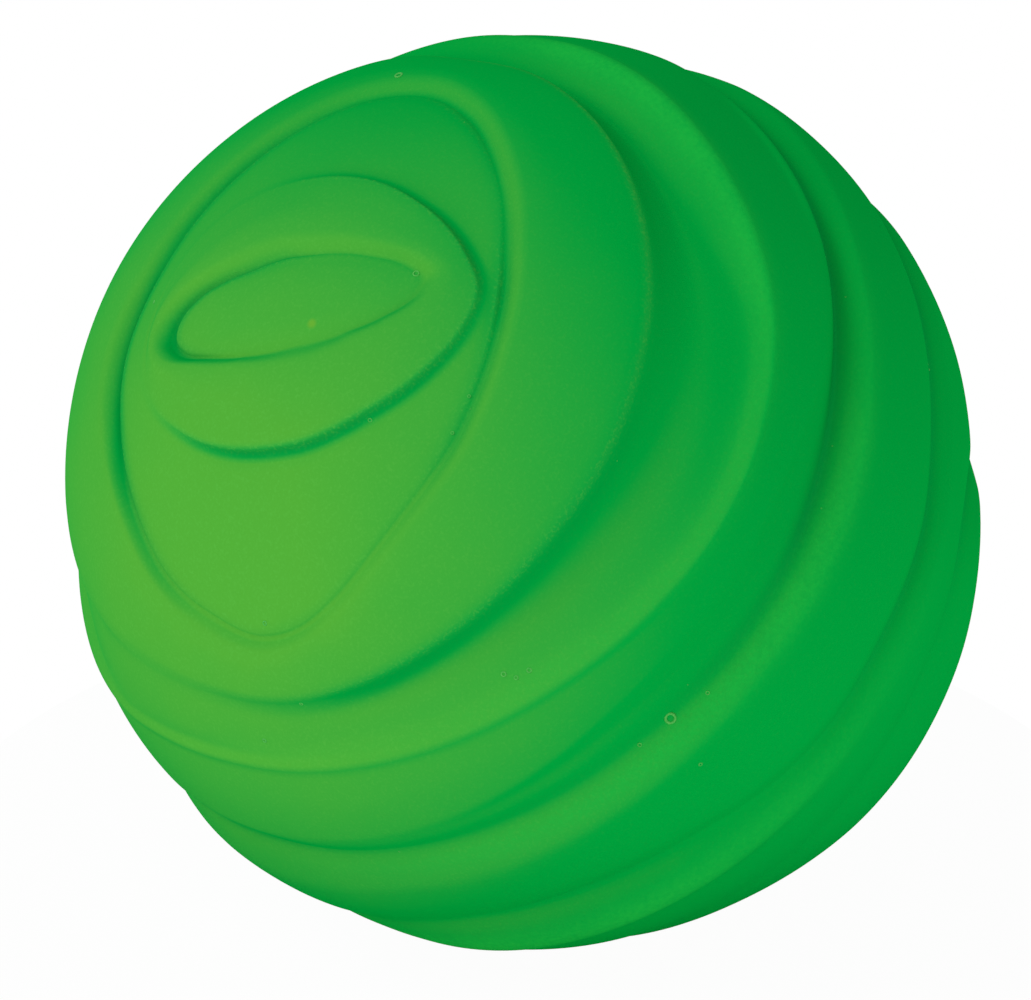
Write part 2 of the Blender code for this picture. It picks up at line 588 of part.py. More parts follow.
def make_reed_clamp(parts, cutters, material):
    """The half of the plug in front of the reed's root, with a shallow pocket that the root lies in."""
    clamp = make_insert("reed_clamp", parts, material, reed_axis_z)
    wide = 2 * BORE_RADIUS
    face_y = PUSH_GAP - slot_half
    back = box_between(
        "clamp_face_cut", cutters, (-wide, -wide, board_foot_z - wide), (wide, face_y, reed_axis_z + wide)
    )
    boolean(clamp, back, "DIFFERENCE")
    pocket_half = REED_WIDTH / 2 + PUSH_GAP
    pocket = box_between(
        "reed_pocket_cut",
        cutters,
        (-pocket_half, -wide, reed_root_z - PUSH_GAP),
        (pocket_half, slot_half, reed_axis_z + wide),
    )
    boolean(clamp, pocket, "DIFFERENCE")
    return clamp


def make_reed(parts, material):
    """A thin tongue with a round tip. Its origin is on the line that it bends about."""
    outline = bpy.data.curves.new("reed_outline", "CURVE")
    outline.dimensions = "2D"
    outline.fill_mode = "BOTH"
    outline.extrude = REED_THICKNESS / 2
    half = REED_WIDTH / 2
    tip_steps = 12
    tip = [math.pi * step / tip_steps for step in range(tip_steps + 1)]
    points = [(half * math.cos(angle), REED_FREE - half + half * math.sin(angle)) for angle in tip]
    points += [(-half, -REED_ROOT), (half, -REED_ROOT)]
    spline = outline.splines.new("POLY")
    spline.points.add(len(points) - 1)
    for point, (x, y) in zip(spline.points, points):
        point.co = (x, y, 0, 1)
    spline.use_cyclic_u = True
    outline.materials.append(material)
    reed = bpy.data.objects.new("reed", outline)
    parts.objects.link(reed)
    reed.location = (0, 0, reed_axis_z)
    reed.rotation_euler = (math.radians(90), 0, 0)
    return reed


def main():
    for obj in list(bpy.data.objects):
        bpy.data.objects.remove(obj)
    parts = bpy.data.collections.new("wave_relief_squeaky_ball")
    cutters = bpy.data.collections.new("cutters")
    for collection in (parts, cutters):
        bpy.context.scene.collection.children.link(collection)
    make_skin(parts, cutters, plastic("green_latex", (0.035, 0.36, 0.036), 0.6))
    make_squeaker_body(parts, plastic("white_plastic", (0.8, 0.8, 0.77), 0.4))
    make_tone_board(parts, cutters, plastic("board_plastic", (0.75, 0.75, 0.72), 0.45))
    make_reed_clamp(parts, cutters, plastic("clamp_plastic", (0.75, 0.75, 0.72), 0.45))
    make_reed(parts, plastic("clear_film", (0.85, 0.87, 0.88), 0.25))


main()
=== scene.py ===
"""The looks of the latex squeaky ball: its relief, its squeaker, its materials and a plain studio."""

import math

import bmesh
import bpy
import numpy as np
from mathutils import Matrix, Vector
from mathutils.bvhtree import BVHTree


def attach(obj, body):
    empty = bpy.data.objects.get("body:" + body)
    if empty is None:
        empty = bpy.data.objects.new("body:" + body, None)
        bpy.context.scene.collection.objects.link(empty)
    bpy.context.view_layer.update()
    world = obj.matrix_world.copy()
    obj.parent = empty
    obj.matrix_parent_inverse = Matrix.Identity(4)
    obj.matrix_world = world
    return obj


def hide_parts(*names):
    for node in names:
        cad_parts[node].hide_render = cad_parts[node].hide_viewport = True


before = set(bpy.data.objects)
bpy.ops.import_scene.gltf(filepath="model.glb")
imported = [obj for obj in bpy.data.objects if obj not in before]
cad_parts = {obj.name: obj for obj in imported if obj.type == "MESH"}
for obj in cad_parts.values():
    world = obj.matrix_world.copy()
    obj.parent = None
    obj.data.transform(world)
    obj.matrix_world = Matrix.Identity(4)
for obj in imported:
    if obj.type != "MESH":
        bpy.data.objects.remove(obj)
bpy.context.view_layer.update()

MM = 0.001

# Ball
BALL_RADIUS = 32.2 * MM
SKIN_WALL = 2.9 * MM
EYE_TILT = 45.0
BACK_TURN = 30.0
BACK_SHARE = 0.85
RELIEF = 1.0 * MM
SKIN_COLUMNS = 288
ROW_STEP = 0.62  # wanted polar angle between two rows of vertices
CREASE_EDGE = 0.55  # 0 rounds creases and edges, 1 makes them as sharp as their sides are steep

# Seat of the squeaker in the latex
SEAT_GAP = 0.1 * MM
SEAT_WALL = 2.2 * MM
LAND_FLAT = 0.1 * MM
LAND_WIDTH = 1.6 * MM
SKIRT_RISE = 2.2 * MM
SKIRT_SPREAD = 2.0 * MM
LIP_ROUND = 0.35 * MM
SKIRT_FILLET = 1.2 * MM
LAND_EDGE = 0.6 * MM
SEAT_STEPS = 96
SEAT_SHARP = 35.0  # degrees between two faces from which their edge stays sharp
DOME_STEPS = 24

# Squeaker body
BORE_RADIUS = 4.0 * MM
SLEEVE_WALL = 1.0 * MM
FLANGE_LIP = 2.4 * MM
FLANGE_THICKNESS = 1.2 * MM
FLANGE_SUNK = 0.3 * MM
BARB_LIP = 1.4 * MM
BARB_THICKNESS = 0.8 * MM
BARB_SLOPE = 1.1 * MM
END_WALL = 1.2 * MM
AIR_HOLE_RADIUS = 1.2 * MM
SLEEVE_TOP = -15.78 * MM
EDGE_BREAK = 0.3 * MM
SLEEVE_SHARP = 50.0

land_z = LAND_FLAT - BALL_RADIUS
flange_face_z = land_z + FLANGE_SUNK
flange_back_z = flange_face_z + FLANGE_THICKNESS
seat_outer_z = flange_back_z + SEAT_GAP
seat_inner_z = seat_outer_z + SEAT_WALL
barb_z = seat_inner_z + SEAT_GAP
bore_floor_z = flange_face_z + END_WALL
sleeve_radius = BORE_RADIUS + SLEEVE_WALL
flange_radius = sleeve_radius + FLANGE_LIP
barb_radius = sleeve_radius + BARB_LIP
recess_radius = flange_radius + SEAT_GAP
hole_radius = sleeve_radius + SEAT_GAP
land_radius = recess_radius + LAND_WIDTH
cavity_radius = BALL_RADIUS - SKIN_WALL

# Photograph's view
PHOTO_WIDTH = 1031
PHOTO_HEIGHT = 1000
BALL_PIXEL = (524.35, 493.85)  # where the ball's centre lies
VIEW_AZIMUTH = 42.0  # of the camera, round from -Y towards +X
VIEW_ELEVATION = 27.0
VIEW_DISTANCE = 0.6
LENS = 295.64  # for the standard 36 mm wide sensor

# Studio
LAMP_DISTANCE = 0.9
LAMP_SIZE = 0.5
KEY_POWER = 3.3
FILL_POWER = 2.0
SURROUND_LIGHT = 0.79
SURROUND_SLANT = 0.57  # the share by which the surround is brighter on its bright side
TABLE_RADIUS = 0.045  # small, so that light also comes from below its edge
TABLE_GAP = 0.02 * MM  # under the ball, so that the two flat faces don't coincide
TABLE_STEPS = 96
TABLE_WHITE = 0.97  # the share of plain white in what the camera sees of the table

# Marks on the latex: azimuth and polar angle from the eye's pole, and for bubbles the radius
BUBBLES = (
    (335.8, 71.5, 0.34 * MM), (330.5, 71.6, 0.12 * MM), (341.5, 72.4, 0.12 * MM), (334.5, 78.4, 0.12 * MM),
    (283.1, 39.2, 0.14 * MM), (288.2, 49.6, 0.11 * MM), (113.3, 40.6, 0.24 * MM), (41.4, 15.2, 0.2 * MM),
    (322.3, 53.1, 0.16 * MM), (323.6, 54.2, 0.13 * MM), (325.9, 54.3, 0.15 * MM), (329.4, 18.1, 0.12 * MM),
    (346.5, 26.5, 0.1 * MM), (357.6, 25.7, 0.1 * MM), (189.9, 28.3, 0.1 * MM), (279.1, 55.7, 0.13 * MM),
)
STREWN_DENSITY = 120000.0  # small bubbles per square metre, in the deepest creases
STREWN_RADIUS = 0.07 * MM  # of the largest of them
STREWN_SEED = 7
BUBBLE_RIM = 0.32  # half the thickness of a bubble's rim, as a share of its radius
YELLOW_FLECK = (335.5, 2.8)
PALE_LINE = ((239.0, 40.7), (236.3, 44.9), (233.4, 49.9))
PALE_STEPS = 6  # spots that make up each stretch of the line

# Grain of the latex
MOTTLE_SIZE = 9 * MM
SCUFF_SIZE = 0.35 * MM
GRAIN_SIZE = 0.22 * MM
FINE_SIZE = 0.09 * MM
GRAIN_HEIGHT = 0.03 * MM

# Rings of the relief: the polar angle from the eye's pole at some azimuths round it. Azimuth 0 is
# the ball's +X side, and 90 its upper side.
EYE_CREASE = (
    (0, 7.7), (15, 10.7), (30, 14.9), (38, 15.9), (47, 14.4), (62, 11.3), (80, 9.2), (100, 8.1),
    (125, 8.1), (140, 8.9), (155, 10.1), (170, 12.3), (180, 15.3), (190, 19.2), (198, 21.6),
    (205, 21.9), (212, 19.6), (222, 14.2), (236, 9.8), (250, 7.4), (265, 5.9), (280, 5.1),
    (295, 4.8), (312, 4.9), (330, 5.4), (345, 6.3),
)
EYE_RIM = (
    (0, 9.7), (15, 12.8), (30, 16.9), (38, 18.0), (47, 16.5), (62, 13.3), (80, 11.2), (100, 10.2),
    (125, 10.4), (140, 11.5), (155, 13.0), (170, 15.5), (180, 18.4), (190, 21.8), (198, 23.7),
    (205, 23.9), (212, 22.0), (222, 16.6), (236, 11.6), (250, 9.2), (265, 7.8), (280, 7.0),
    (295, 6.7), (312, 6.8), (330, 7.3), (345, 8.2),
)
LENS_EDGE = (
    (0, 19.3), (15, 21.2), (30, 22.5), (45, 21.3), (60, 20.1), (75, 19.2), (90, 19.0), (120, 19.7),
    (150, 22.0), (180, 25.0), (210, 26.0), (225, 24.6), (240, 22.1), (255, 20.1), (270, 18.5),
    (285, 17.4), (300, 16.9), (315, 16.6), (330, 16.8), (345, 17.8),
)
BOWL_CREASE = (
    (0, 26.1), (15, 25.6), (30, 25.7), (45, 26.6), (60, 28.6), (75, 31.2), (90, 34.6), (105, 37.4),
    (120, 37.2), (135, 34.8), (150, 32.8), (165, 31.9), (180, 31.8), (190, 32.7), (200, 33.8),
    (210, 34.3), (220, 34.6), (232, 35.6), (243, 36.9), (255, 39.0), (270, 40.4), (282, 41.3),
    (290, 40.0), (300, 36.7), (310, 33.2), (320, 30.6), (330, 28.9), (345, 27.3),
)
BOWL_CREST = (
    (0, 27.9), (15, 27.5), (30, 27.8), (45, 28.8), (60, 30.8), (75, 33.6), (90, 37.2), (105, 40.0),
    (120, 39.9), (135, 37.2), (150, 35.0), (165, 34.1), (180, 34.1), (190, 35.1), (200, 36.2),
    (210, 36.6), (220, 36.6), (232, 37.0), (243, 38.3), (255, 40.5), (270, 42.5), (285, 42.8),
    (300, 38.8), (315, 33.6), (330, 30.6), (345, 29.1),
)
BOWL_EDGE = (
    (0, 43.3), (15, 43.1), (30, 43.3), (45, 43.5), (60, 44.2), (75, 45.2), (90, 46.2), (105, 46.2),
    (120, 49.8), (150, 54.5), (180, 57.5), (210, 58.4), (225, 56.6), (240, 54.4), (255, 51.6),
    (270, 49.7), (285, 48.8), (300, 47.1), (315, 45.4), (330, 44.2), (345, 43.4),
)
BOWL_FOOT = (
    (0, 48.8), (30, 49.0), (60, 49.0), (90, 50.2), (105, 50.6), (120, 53.4), (150, 57.6),
    (180, 60.5), (210, 62.0), (225, 61.2), (240, 58.4), (255, 54.9), (270, 52.5), (285, 51.6),
    (300, 50.1), (315, 48.9), (330, 48.4), (345, 48.4),
)
RIDGE_CREST = (
    (0, 60.0), (15, 60.2), (30, 59.7), (45, 57.9), (60, 56.5), (75, 56.3), (90, 57.0), (105, 58.2),
    (120, 61.2), (150, 67.5), (180, 72.5), (210, 74.5), (225, 73.5), (240, 70.0), (255, 64.0),
    (270, 60.5), (285, 58.9), (300, 57.9), (315, 57.6), (330, 57.9), (345, 58.9),
)
SHOULDER = (
    (0, 64.8), (15, 65.2), (30, 67.6), (45, 68.8), (60, 69.0), (75, 70.2), (90, 72.4), (120, 77.8),
    (150, 81.5), (180, 84.0), (210, 84.5), (240, 80.6), (255, 75.4), (270, 72.6), (285, 70.7),
    (300, 68.6), (315, 66.6), (330, 65.0), (345, 64.5),
)
NARROW_CREASE = (
    (0, 71.9), (15, 72.0), (30, 71.9), (45, 72.4), (60, 72.9), (75, 74.0), (90, 77.4), (120, 83.0),
    (150, 85.3), (180, 88.0), (210, 88.8), (240, 85.6), (255, 80.2), (270, 75.8), (285, 74.2),
    (300, 73.0), (315, 72.0), (330, 71.4), (345, 71.6),
)
BROAD_CREST = (
    (0, 76.4), (30, 75.6), (45, 75.6), (60, 77.2), (75, 79.0), (90, 82.0), (120, 86.2), (150, 89.5),
    (180, 92.5), (210, 93.5), (240, 92.0), (255, 89.0), (270, 85.5), (285, 82.0), (300, 80.0),
    (315, 78.2), (330, 77.2), (345, 76.6),
)
WAIST_CREASE = (
    (0, 94.0), (15, 94.2), (30, 92.8), (45, 93.2), (60, 94.2), (68, 96.2), (80, 98.2), (120, 100.4),
    (150, 101.5), (180, 103.2), (210, 104.2), (240, 103.7), (260, 101.0), (272, 97.6), (285, 92.8),
    (300, 90.8), (315, 90.4), (328, 91.4), (338, 93.4), (348, 94.4),
)
WAIST_RIM = (
    (0, 98.0), (15, 97.2), (30, 97.0), (45, 97.0), (60, 98.2), (80, 102.2), (120, 104.4), (150, 105.5),
    (180, 107.2), (210, 108.2), (240, 107.7), (260, 105.2), (275, 101.4), (285, 99.6), (300, 98.4),
    (315, 98.0), (330, 98.1), (345, 98.3),
)
FAR_CREASE = (
    (0, 110.4), (8, 109.4), (15, 108.5), (23, 108.0), (30, 110.2), (35, 113.8), (42, 117.6),
    (60, 118.0), (90, 117.0), (120, 117.5), (150, 118.5), (180, 120.0), (210, 121.5), (240, 122.0),
    (270, 122.0), (290, 121.0), (305, 117.4), (318, 115.0), (330, 113.8), (345, 112.0),
)
FAR_RIM = (
    (0, 121.0), (10, 117.5), (18, 113.2), (23, 112.8), (30, 115.4), (35, 119.0), (42, 122.2),
    (60, 122.2), (90, 121.2), (120, 121.7), (150, 122.7), (180, 124.2), (210, 125.7), (240, 126.2),
    (270, 126.5), (295, 126.0), (310, 125.2), (330, 124.0), (350, 122.8),
)

# Heights of the relief, as shares of RELIEF, at some azimuths where they change round the ball
EYE_DEPTH = (
    (0, -0.32), (40, -0.36), (110, -0.42), (150, -0.58), (180, -0.75), (205, -0.88), (218, -0.56),
    (230, -0.4), (270, -0.32),
)
LENS_STEP = (
    (0, 0.85), (15, 0.65), (30, 0.7), (45, 1.15), (60, 1.4), (75, 1.6), (90, 1.4), (105, 1.0),
    (120, 0.5), (135, 0.12), (150, 0.0), (180, 0.0), (222, 0.0), (232, 0.3), (240, 0.6), (252, 1.0),
    (270, 1.25), (285, 1.25), (300, 1.15), (330, 1.0),
)
BOWL_DEPTH = (
    (0, -0.6), (15, -0.62), (30, -0.74), (45, -0.62), (60, -0.54), (90, -0.6), (110, -0.5),
    (130, -0.6), (150, -0.8), (180, -0.95), (195, -1.35), (210, -1.4), (225, -0.95), (240, -0.62),
    (255, -0.52), (270, -0.46), (285, -0.4), (300, -0.26), (315, -0.28), (330, -0.44), (345, -0.58),
)
BOWL_BULGE = ((0, 0.0), (60, 0.0), (120, 0.05), (150, 0.2), (180, 0.3), (205, 0.12), (240, 0.0), (300, 0.0))
FLOOR_LIFT = (
    (0, 0.0), (120, 0.0), (240, 0.0), (255, 0.1), (270, 0.2), (285, 0.26), (300, 0.34), (315, 0.3),
    (330, 0.14), (345, 0.0),
)
RIDGE_RISE = (
    (0, 2.6), (20, 2.8), (32, 3.6), (45, 5.6), (60, 6.4), (75, 6.6), (90, 6.2), (105, 5.8), (120, 4.5),
    (150, 3.0), (240, 3.0), (300, 3.6), (330, 3.4),
)
VALLEY_DEPTH = (
    (0, -0.34), (180, -0.34), (232, -0.34), (244, -0.14), (262, -0.05), (280, -0.18), (300, -0.3),
)
RIDGE_FLANK = (
    (0, 0.06), (30, -0.04), (45, -0.3), (60, -0.5), (75, -0.52), (90, -0.4), (105, -0.1), (120, 0.0),
    (150, 0.12), (250, 0.08), (330, 0.06),
)
RIDGE_LIFT = (
    (0, 0.08), (30, 0.16), (45, 0.34), (60, 0.42), (75, 0.42), (90, 0.3), (100, 0.14), (110, 0.04),
    (126, -0.1), (150, 0.0), (205, 0.05), (222, 0.15), (232, 0.05), (242, -0.14), (256, -0.18),
    (270, -0.2), (300, -0.18), (320, -0.15), (340, 0.0),
)
FOOT_DEPTH = (
    (0, -1.2), (30, -1.15), (55, -1.4), (75, -1.5), (95, -1.35), (108, -1.0), (125, -0.62), (180, -0.52),
    (228, -0.5), (236, -0.36), (246, -0.1), (256, 0.0), (266, -0.06), (276, -0.2), (285, -0.32),
    (300, -0.55), (320, -0.8), (345, -1.15),
)
SHOULDER_LIFT = (
    (0, 0.0), (25, 0.0), (42, -0.16), (58, -0.36), (74, -0.32), (88, 0.06), (108, 0.17), (140, 0.08),
    (200, 0.0), (238, 0.06), (249, -0.12), (265, -0.1), (290, 0.0),
)
TERRACE = (
    (0, 1.0), (14, 0.5), (28, 0.04), (38, 0.0), (90, 0.0), (180, 0.0), (284, 0.0), (302, 0.05), (318, 0.6),
    (335, 1.0), (350, 1.0),
)
BROAD_TOP = (
    (0, 0.78), (20, 0.55), (40, 0.34), (66, 0.28), (78, 0.42), (90, 0.26), (110, 0.3), (200, 0.3),
    (270, 0.26), (290, 0.26), (305, 0.44), (320, 0.66), (340, 0.85),
)
NARROW_DEPTH = (
    (0, -0.84), (12, -1.25), (30, -1.5), (45, -1.3), (60, -0.9), (75, -1.0), (90, -0.8), (150, -0.65),
    (238, -0.66), (252, -0.9), (266, -0.6), (285, -0.5), (300, -0.54), (315, -0.6), (330, -0.56),
    (345, -0.7),
)
WAIST_DEPTH = (
    (0, -0.75), (20, -0.85), (45, -0.85), (70, -0.65), (120, -0.6), (240, -0.55), (270, -0.46),
    (285, -0.36), (300, -0.5), (315, -0.55), (330, -0.45), (348, -0.58),
)
WAIST_CREST = (
    (0, 0.25), (15, 0.12), (30, -0.1), (40, -0.2), (48, -0.06), (60, 0.05), (90, 0.2), (120, 0.3),
    (240, 0.3), (262, 0.05), (275, -0.06), (281, 0.14), (287, 0.45), (296, 0.8), (310, 1.0),
    (325, 0.9), (340, 0.55), (350, 0.35),
)
WAIST_DROP = (
    (0, 0.1), (60, 0.03), (180, 0.03), (260, 0.1), (280, 0.2), (290, 0.5), (305, 0.85), (325, 0.8),
    (345, 0.3),
)
FAR_DEPTH = (
    (0, -0.4), (12, -0.55), (23, -0.75), (35, -0.85), (50, -0.75), (90, -0.7), (270, -0.6),
    (290, -0.35), (305, -0.1), (320, 0.0), (335, 0.02), (350, -0.2),
)
FAR_CREST = (
    (0, 0.9), (10, 0.75), (18, 0.5), (24, 0.28), (32, -0.05), (40, -0.25), (50, 0.0), (70, 0.2),
    (90, 0.3), (180, 0.3), (270, 0.3), (300, 0.36), (320, 0.46), (330, 0.7), (340, 0.95), (350, 1.0),
)

# Strength of the paler bands on the crests, partly rubbed and partly painted light, and of the bands of
# painted shade, at some azimuths
RIDGE_WEAR_AND_LIGHT = (
    (0, 0.45), (30, 0.6), (45, 0.8), (60, 1.0), (90, 1.0), (105, 0.6), (120, 0.1), (150, 0.0), (240, 0.0),
    (270, 0.1), (300, 0.15), (330, 0.3),
)
BROAD_WEAR_AND_LIGHT = (
    (0, 1.0), (15, 0.8), (30, 0.45), (45, 0.2), (60, 0.0), (120, 0.0), (240, 0.0), (285, 0.15), (300, 0.45),
    (315, 0.6), (330, 0.8), (345, 1.0),
)
WAIST_WEAR_AND_LIGHT = (
    (0, 0.2), (20, 0.0), (120, 0.0), (262, 0.0), (278, 0.5), (295, 1.0), (320, 0.9), (340, 0.5),
)
LENS_SHADE = (
    (0, 0.55), (20, 0.3), (45, 0.2), (60, 0.1), (90, 0.1), (120, 0.0), (200, 0.0), (235, 0.2), (250, 0.6),
    (270, 1.0), (300, 1.0), (330, 0.8),
)
VALLEY_SHADE = (
    (0, 0.3), (15, 0.05), (40, 0.0), (120, 0.0), (270, 0.0), (290, 0.2), (300, 0.5), (330, 0.45), (345, 0.4),
)

# Places beside the rings, in degrees of polar angle. The bands of painted shade lie beside the lens's edge
# and the bowl's, and the paler bands, partly rubbed and partly painted light, beside the ridge, the narrow
# crease and the waist's rim.
LENS_FALL = (0.55, 1.9)
BOWL_LIP = 0.8
VALLEY_WIDTH = 7.0
SHADE_LIE = (0.7, 1.4)
SHADE_REACH = (0.7, 1.4)
WEAR_AND_LIGHT_LIE = (-1.2, 2.6, -1.0)
WEAR_AND_LIGHT_REACH = (2.2, 2.0, 2.8)
CREASE_REACH = (1.5, 0.8)  # of the painted crease shade, before and after a crease
# How far the painted highlight along a sharp edge reaches, in degrees of polar angle
EDGE_HIGHLIGHT_REACH = 0.5
EDGE_BEND = 0.25  # change of slope, in shares of RELIEF per degree, at which a sharp edge gets its full painted highlight
DEEP_FROM = -0.45  # height, as a share of RELIEF, below which a crease gets painted shade
DEEP_OVER = 0.6
RIDGE_FALL = 1.0
WAIST_FALL = 4.0
FAR_FALL = 5.0


def ring(knots, azimuths):
    """The polar angles at the azimuths, on a smooth closed curve through the knots."""
    at, value = np.array(knots, float).T
    at = np.concatenate([at[-2:] - 360, at, at[:3] + 360])
    value = np.concatenate([value[-2:], value, value[:3]])
    run, rise = np.diff(at), np.diff(value)
    slope = (rise[1:] / run[1:] * run[:-1] + rise[:-1] / run[:-1] * run[1:]) / (run[:-1] + run[1:])
    turn = np.asarray(azimuths, float) % 360
    i = np.searchsorted(at, turn, side="right") - 1
    s = (turn - at[i]) / run[i]
    start, end = slope[i - 1] * run[i], slope[i] * run[i]
    return (
        value[i] * (1 + 2 * s) * (1 - s) ** 2
        + start * s * (1 - s) ** 2
        + value[i + 1] * s**2 * (3 - 2 * s)
        + end * s**2 * (s - 1)
    )


def between(low, high, share):
    return low + (high - low) * share


# What a row of the relief is: a smooth place, the sharp foot of a crease or the sharp edge of a step
PLAIN, CREASE, EDGE = 0, 1, 2


def front_rows(azimuths):
    """Polar angles, heights as shares of RELIEF and kind of each row, from the pole to the bowl's foot."""
    eye = ring(EYE_CREASE, azimuths)
    eye_rim = ring(EYE_RIM, azimuths)
    lens = ring(LENS_EDGE, azimuths)
    bowl = ring(BOWL_CREASE, azimuths)
    rim = ring(BOWL_CREST, azimuths)
    edge = ring(BOWL_EDGE, azimuths)
    foot = ring(BOWL_FOOT, azimuths)
    foot_depth = ring(FOOT_DEPTH, azimuths)
    step = ring(LENS_STEP, azimuths)
    floor_lift = ring(FLOOR_LIFT, azimuths)
    eye_depth = ring(EYE_DEPTH, azimuths)
    bowl_depth = ring(BOWL_DEPTH, azimuths)
    bulge = ring(BOWL_BULGE, azimuths)
    lip = np.maximum(bowl - BOWL_LIP, between(lens, bowl, 0.75))
    lens_foot = np.minimum(lens + LENS_FALL[1], between(lens, lip, 0.7))
    lens_drop = np.minimum(lens + LENS_FALL[0], between(lens, lip, 0.25))
    return [
        (between(0, eye, 0.35), -0.12, PLAIN),
        (between(0, eye, 0.7), -0.18, PLAIN),
        (between(0, eye, 0.93), -0.28, EDGE),
        (eye, eye_depth, CREASE),
        (between(eye, eye_rim, 0.5), between(eye_depth, 0.24, 0.6), PLAIN),
        (eye_rim, 0.24, PLAIN),
        (between(eye_rim, lens, 0.35), 0.32, PLAIN),
        (between(eye_rim, lens, 0.7), between(0.16, 0.26, step), PLAIN),
        (between(eye_rim, lens, 0.93), between(0.04, 0.18, step), PLAIN),
        (lens, between(0.0, 0.12, step), EDGE),
        (lens_drop, between(-0.04, -0.3, step), PLAIN),
        (lens_foot, between(-0.14, -0.54, step) + floor_lift / 2, PLAIN),
        (lip, between(-0.36, -0.48, step.clip(0, 1)) + floor_lift, EDGE),
        (bowl, bowl_depth, CREASE),
        (between(bowl, rim, 0.5), between(bowl_depth, 0.32, 0.62), PLAIN),
        (rim, 0.32, PLAIN),
        (between(rim, edge, 0.3), bulge + 0.43, PLAIN),
        (between(rim, edge, 0.65), bulge + 0.4, PLAIN),
        (between(rim, edge, 0.92), 0.33, PLAIN),
        (edge, 0.24, EDGE),
        (between(edge, foot, 0.45), between(0.24, foot_depth, 0.72), PLAIN),
        (foot, foot_depth, PLAIN),
    ]


def middle_rows(azimuths):
    """The same from the ridge's valley to the far crease's crest, round the ball's waist."""
    foot = ring(BOWL_FOOT, azimuths)
    ridge = ring(RIDGE_CREST, azimuths)
    shoulder = ring(SHOULDER, azimuths)
    narrow = ring(NARROW_CREASE, azimuths)
    broad = ring(BROAD_CREST, azimuths)
    waist = ring(WAIST_CREASE, azimuths)
    far = ring(FAR_CREASE, azimuths)
    rise = ring(RIDGE_RISE, azimuths)
    valley = ring(VALLEY_DEPTH, azimuths)
    flank = ring(RIDGE_FLANK, azimuths)
    ridge_lift = ring(RIDGE_LIFT, azimuths)
    foot_depth = ring(FOOT_DEPTH, azimuths)
    shoulder_lift = ring(SHOULDER_LIFT, azimuths)
    terrace = ring(TERRACE, azimuths)
    narrow_depth = ring(NARROW_DEPTH, azimuths)
    broad_top = ring(BROAD_TOP, azimuths)
    waist_rim = ring(WAIST_RIM, azimuths)
    waist_depth = ring(WAIST_DEPTH, azimuths)
    waist_crest = ring(WAIST_CREST, azimuths)
    waist_drop = ring(WAIST_DROP, azimuths)
    far_rim = ring(FAR_RIM, azimuths)
    far_depth = ring(FAR_DEPTH, azimuths)
    far_crest = ring(FAR_CREST, azimuths)
    back_foot = 180 - BACK_SHARE * ring(BOWL_FOOT, azimuths + BACK_TURN)
    rise_start = np.maximum(ridge - rise, between(foot, ridge, 0.12))
    start_height = between(foot_depth, valley, ((rise_start - foot) / VALLEY_WIDTH).clip(0, 1))
    return [
        (between(foot, rise_start, 0.5), between(foot_depth, start_height, 0.5), PLAIN),
        (rise_start, start_height, PLAIN),
        (ridge - 0.42 * rise, ridge_lift + flank, PLAIN),
        (ridge, ridge_lift + 0.38, PLAIN),
        (ridge + RIDGE_FALL, ridge_lift + 0.2, PLAIN),
        (between(ridge, shoulder, 0.6), between(ridge_lift + 0.38, shoulder_lift + 0.06, 0.78), PLAIN),
        (shoulder, shoulder_lift + 0.06, PLAIN),
        (between(shoulder, narrow, 0.3), between(0.06, narrow_depth, between(0.2, 0.62, terrace)), PLAIN),
        (between(shoulder, narrow, 0.6), between(0.06, narrow_depth, between(0.5, 0.66, terrace)), PLAIN),
        (narrow, narrow_depth, CREASE),
        (between(narrow, broad, 0.5), between(narrow_depth, broad_top, 0.58), PLAIN),
        (broad, broad_top, PLAIN),
        (between(broad, waist - WAIST_FALL, 0.6), between(broad_top, waist_depth, 0.15), PLAIN),
        (waist - WAIST_FALL, between(broad_top, waist_depth, 0.4), PLAIN),
        (waist - WAIST_FALL / 2, between(broad_top, waist_depth, 0.7), PLAIN),
        (waist, waist_depth, CREASE),
        (between(waist, waist_rim, 0.45), between(waist_depth, waist_crest, 0.6), PLAIN),
        (waist_rim, waist_crest, PLAIN),
        (between(waist_rim, far - FAR_FALL, 0.45), waist_crest - waist_drop, PLAIN),
        (far - FAR_FALL, between(waist_crest - waist_drop, far_depth, 0.25), PLAIN),
        (far - FAR_FALL / 2, between(waist_crest - waist_drop, far_depth, 0.6), PLAIN),
        (far, far_depth, CREASE),
        (between(far, far_rim, 0.4), between(far_depth, far_crest, 0.5), PLAIN),
        (far_rim, far_crest, PLAIN),
        (between(far_rim, back_foot, 0.3), far_crest - 0.08, PLAIN),
        (between(far_rim, back_foot, 0.6), -0.05, PLAIN),
        (between(far_rim, back_foot, 0.85), -0.38, PLAIN),
    ]


def relief_rows(azimuths):
    """All rows of the relief from pole to pole, as arrays of polar angle and height, and their kinds."""
    back = [
        (180 - BACK_SHARE * polar, height, kind)
        for polar, height, kind in reversed(front_rows(azimuths + BACK_TURN))
    ]
    front = front_rows(azimuths)
    pole = np.zeros(len(azimuths))
    rows = [(pole, front[0][1], PLAIN)]
    rows += front + middle_rows(azimuths) + back
    rows += [(pole + 180, back[-1][1], PLAIN)]
    polar = np.array([row[0] for row in rows])
    height = np.array([row[1] + pole for row in rows])
    return polar, height, np.array([row[2] for row in rows])


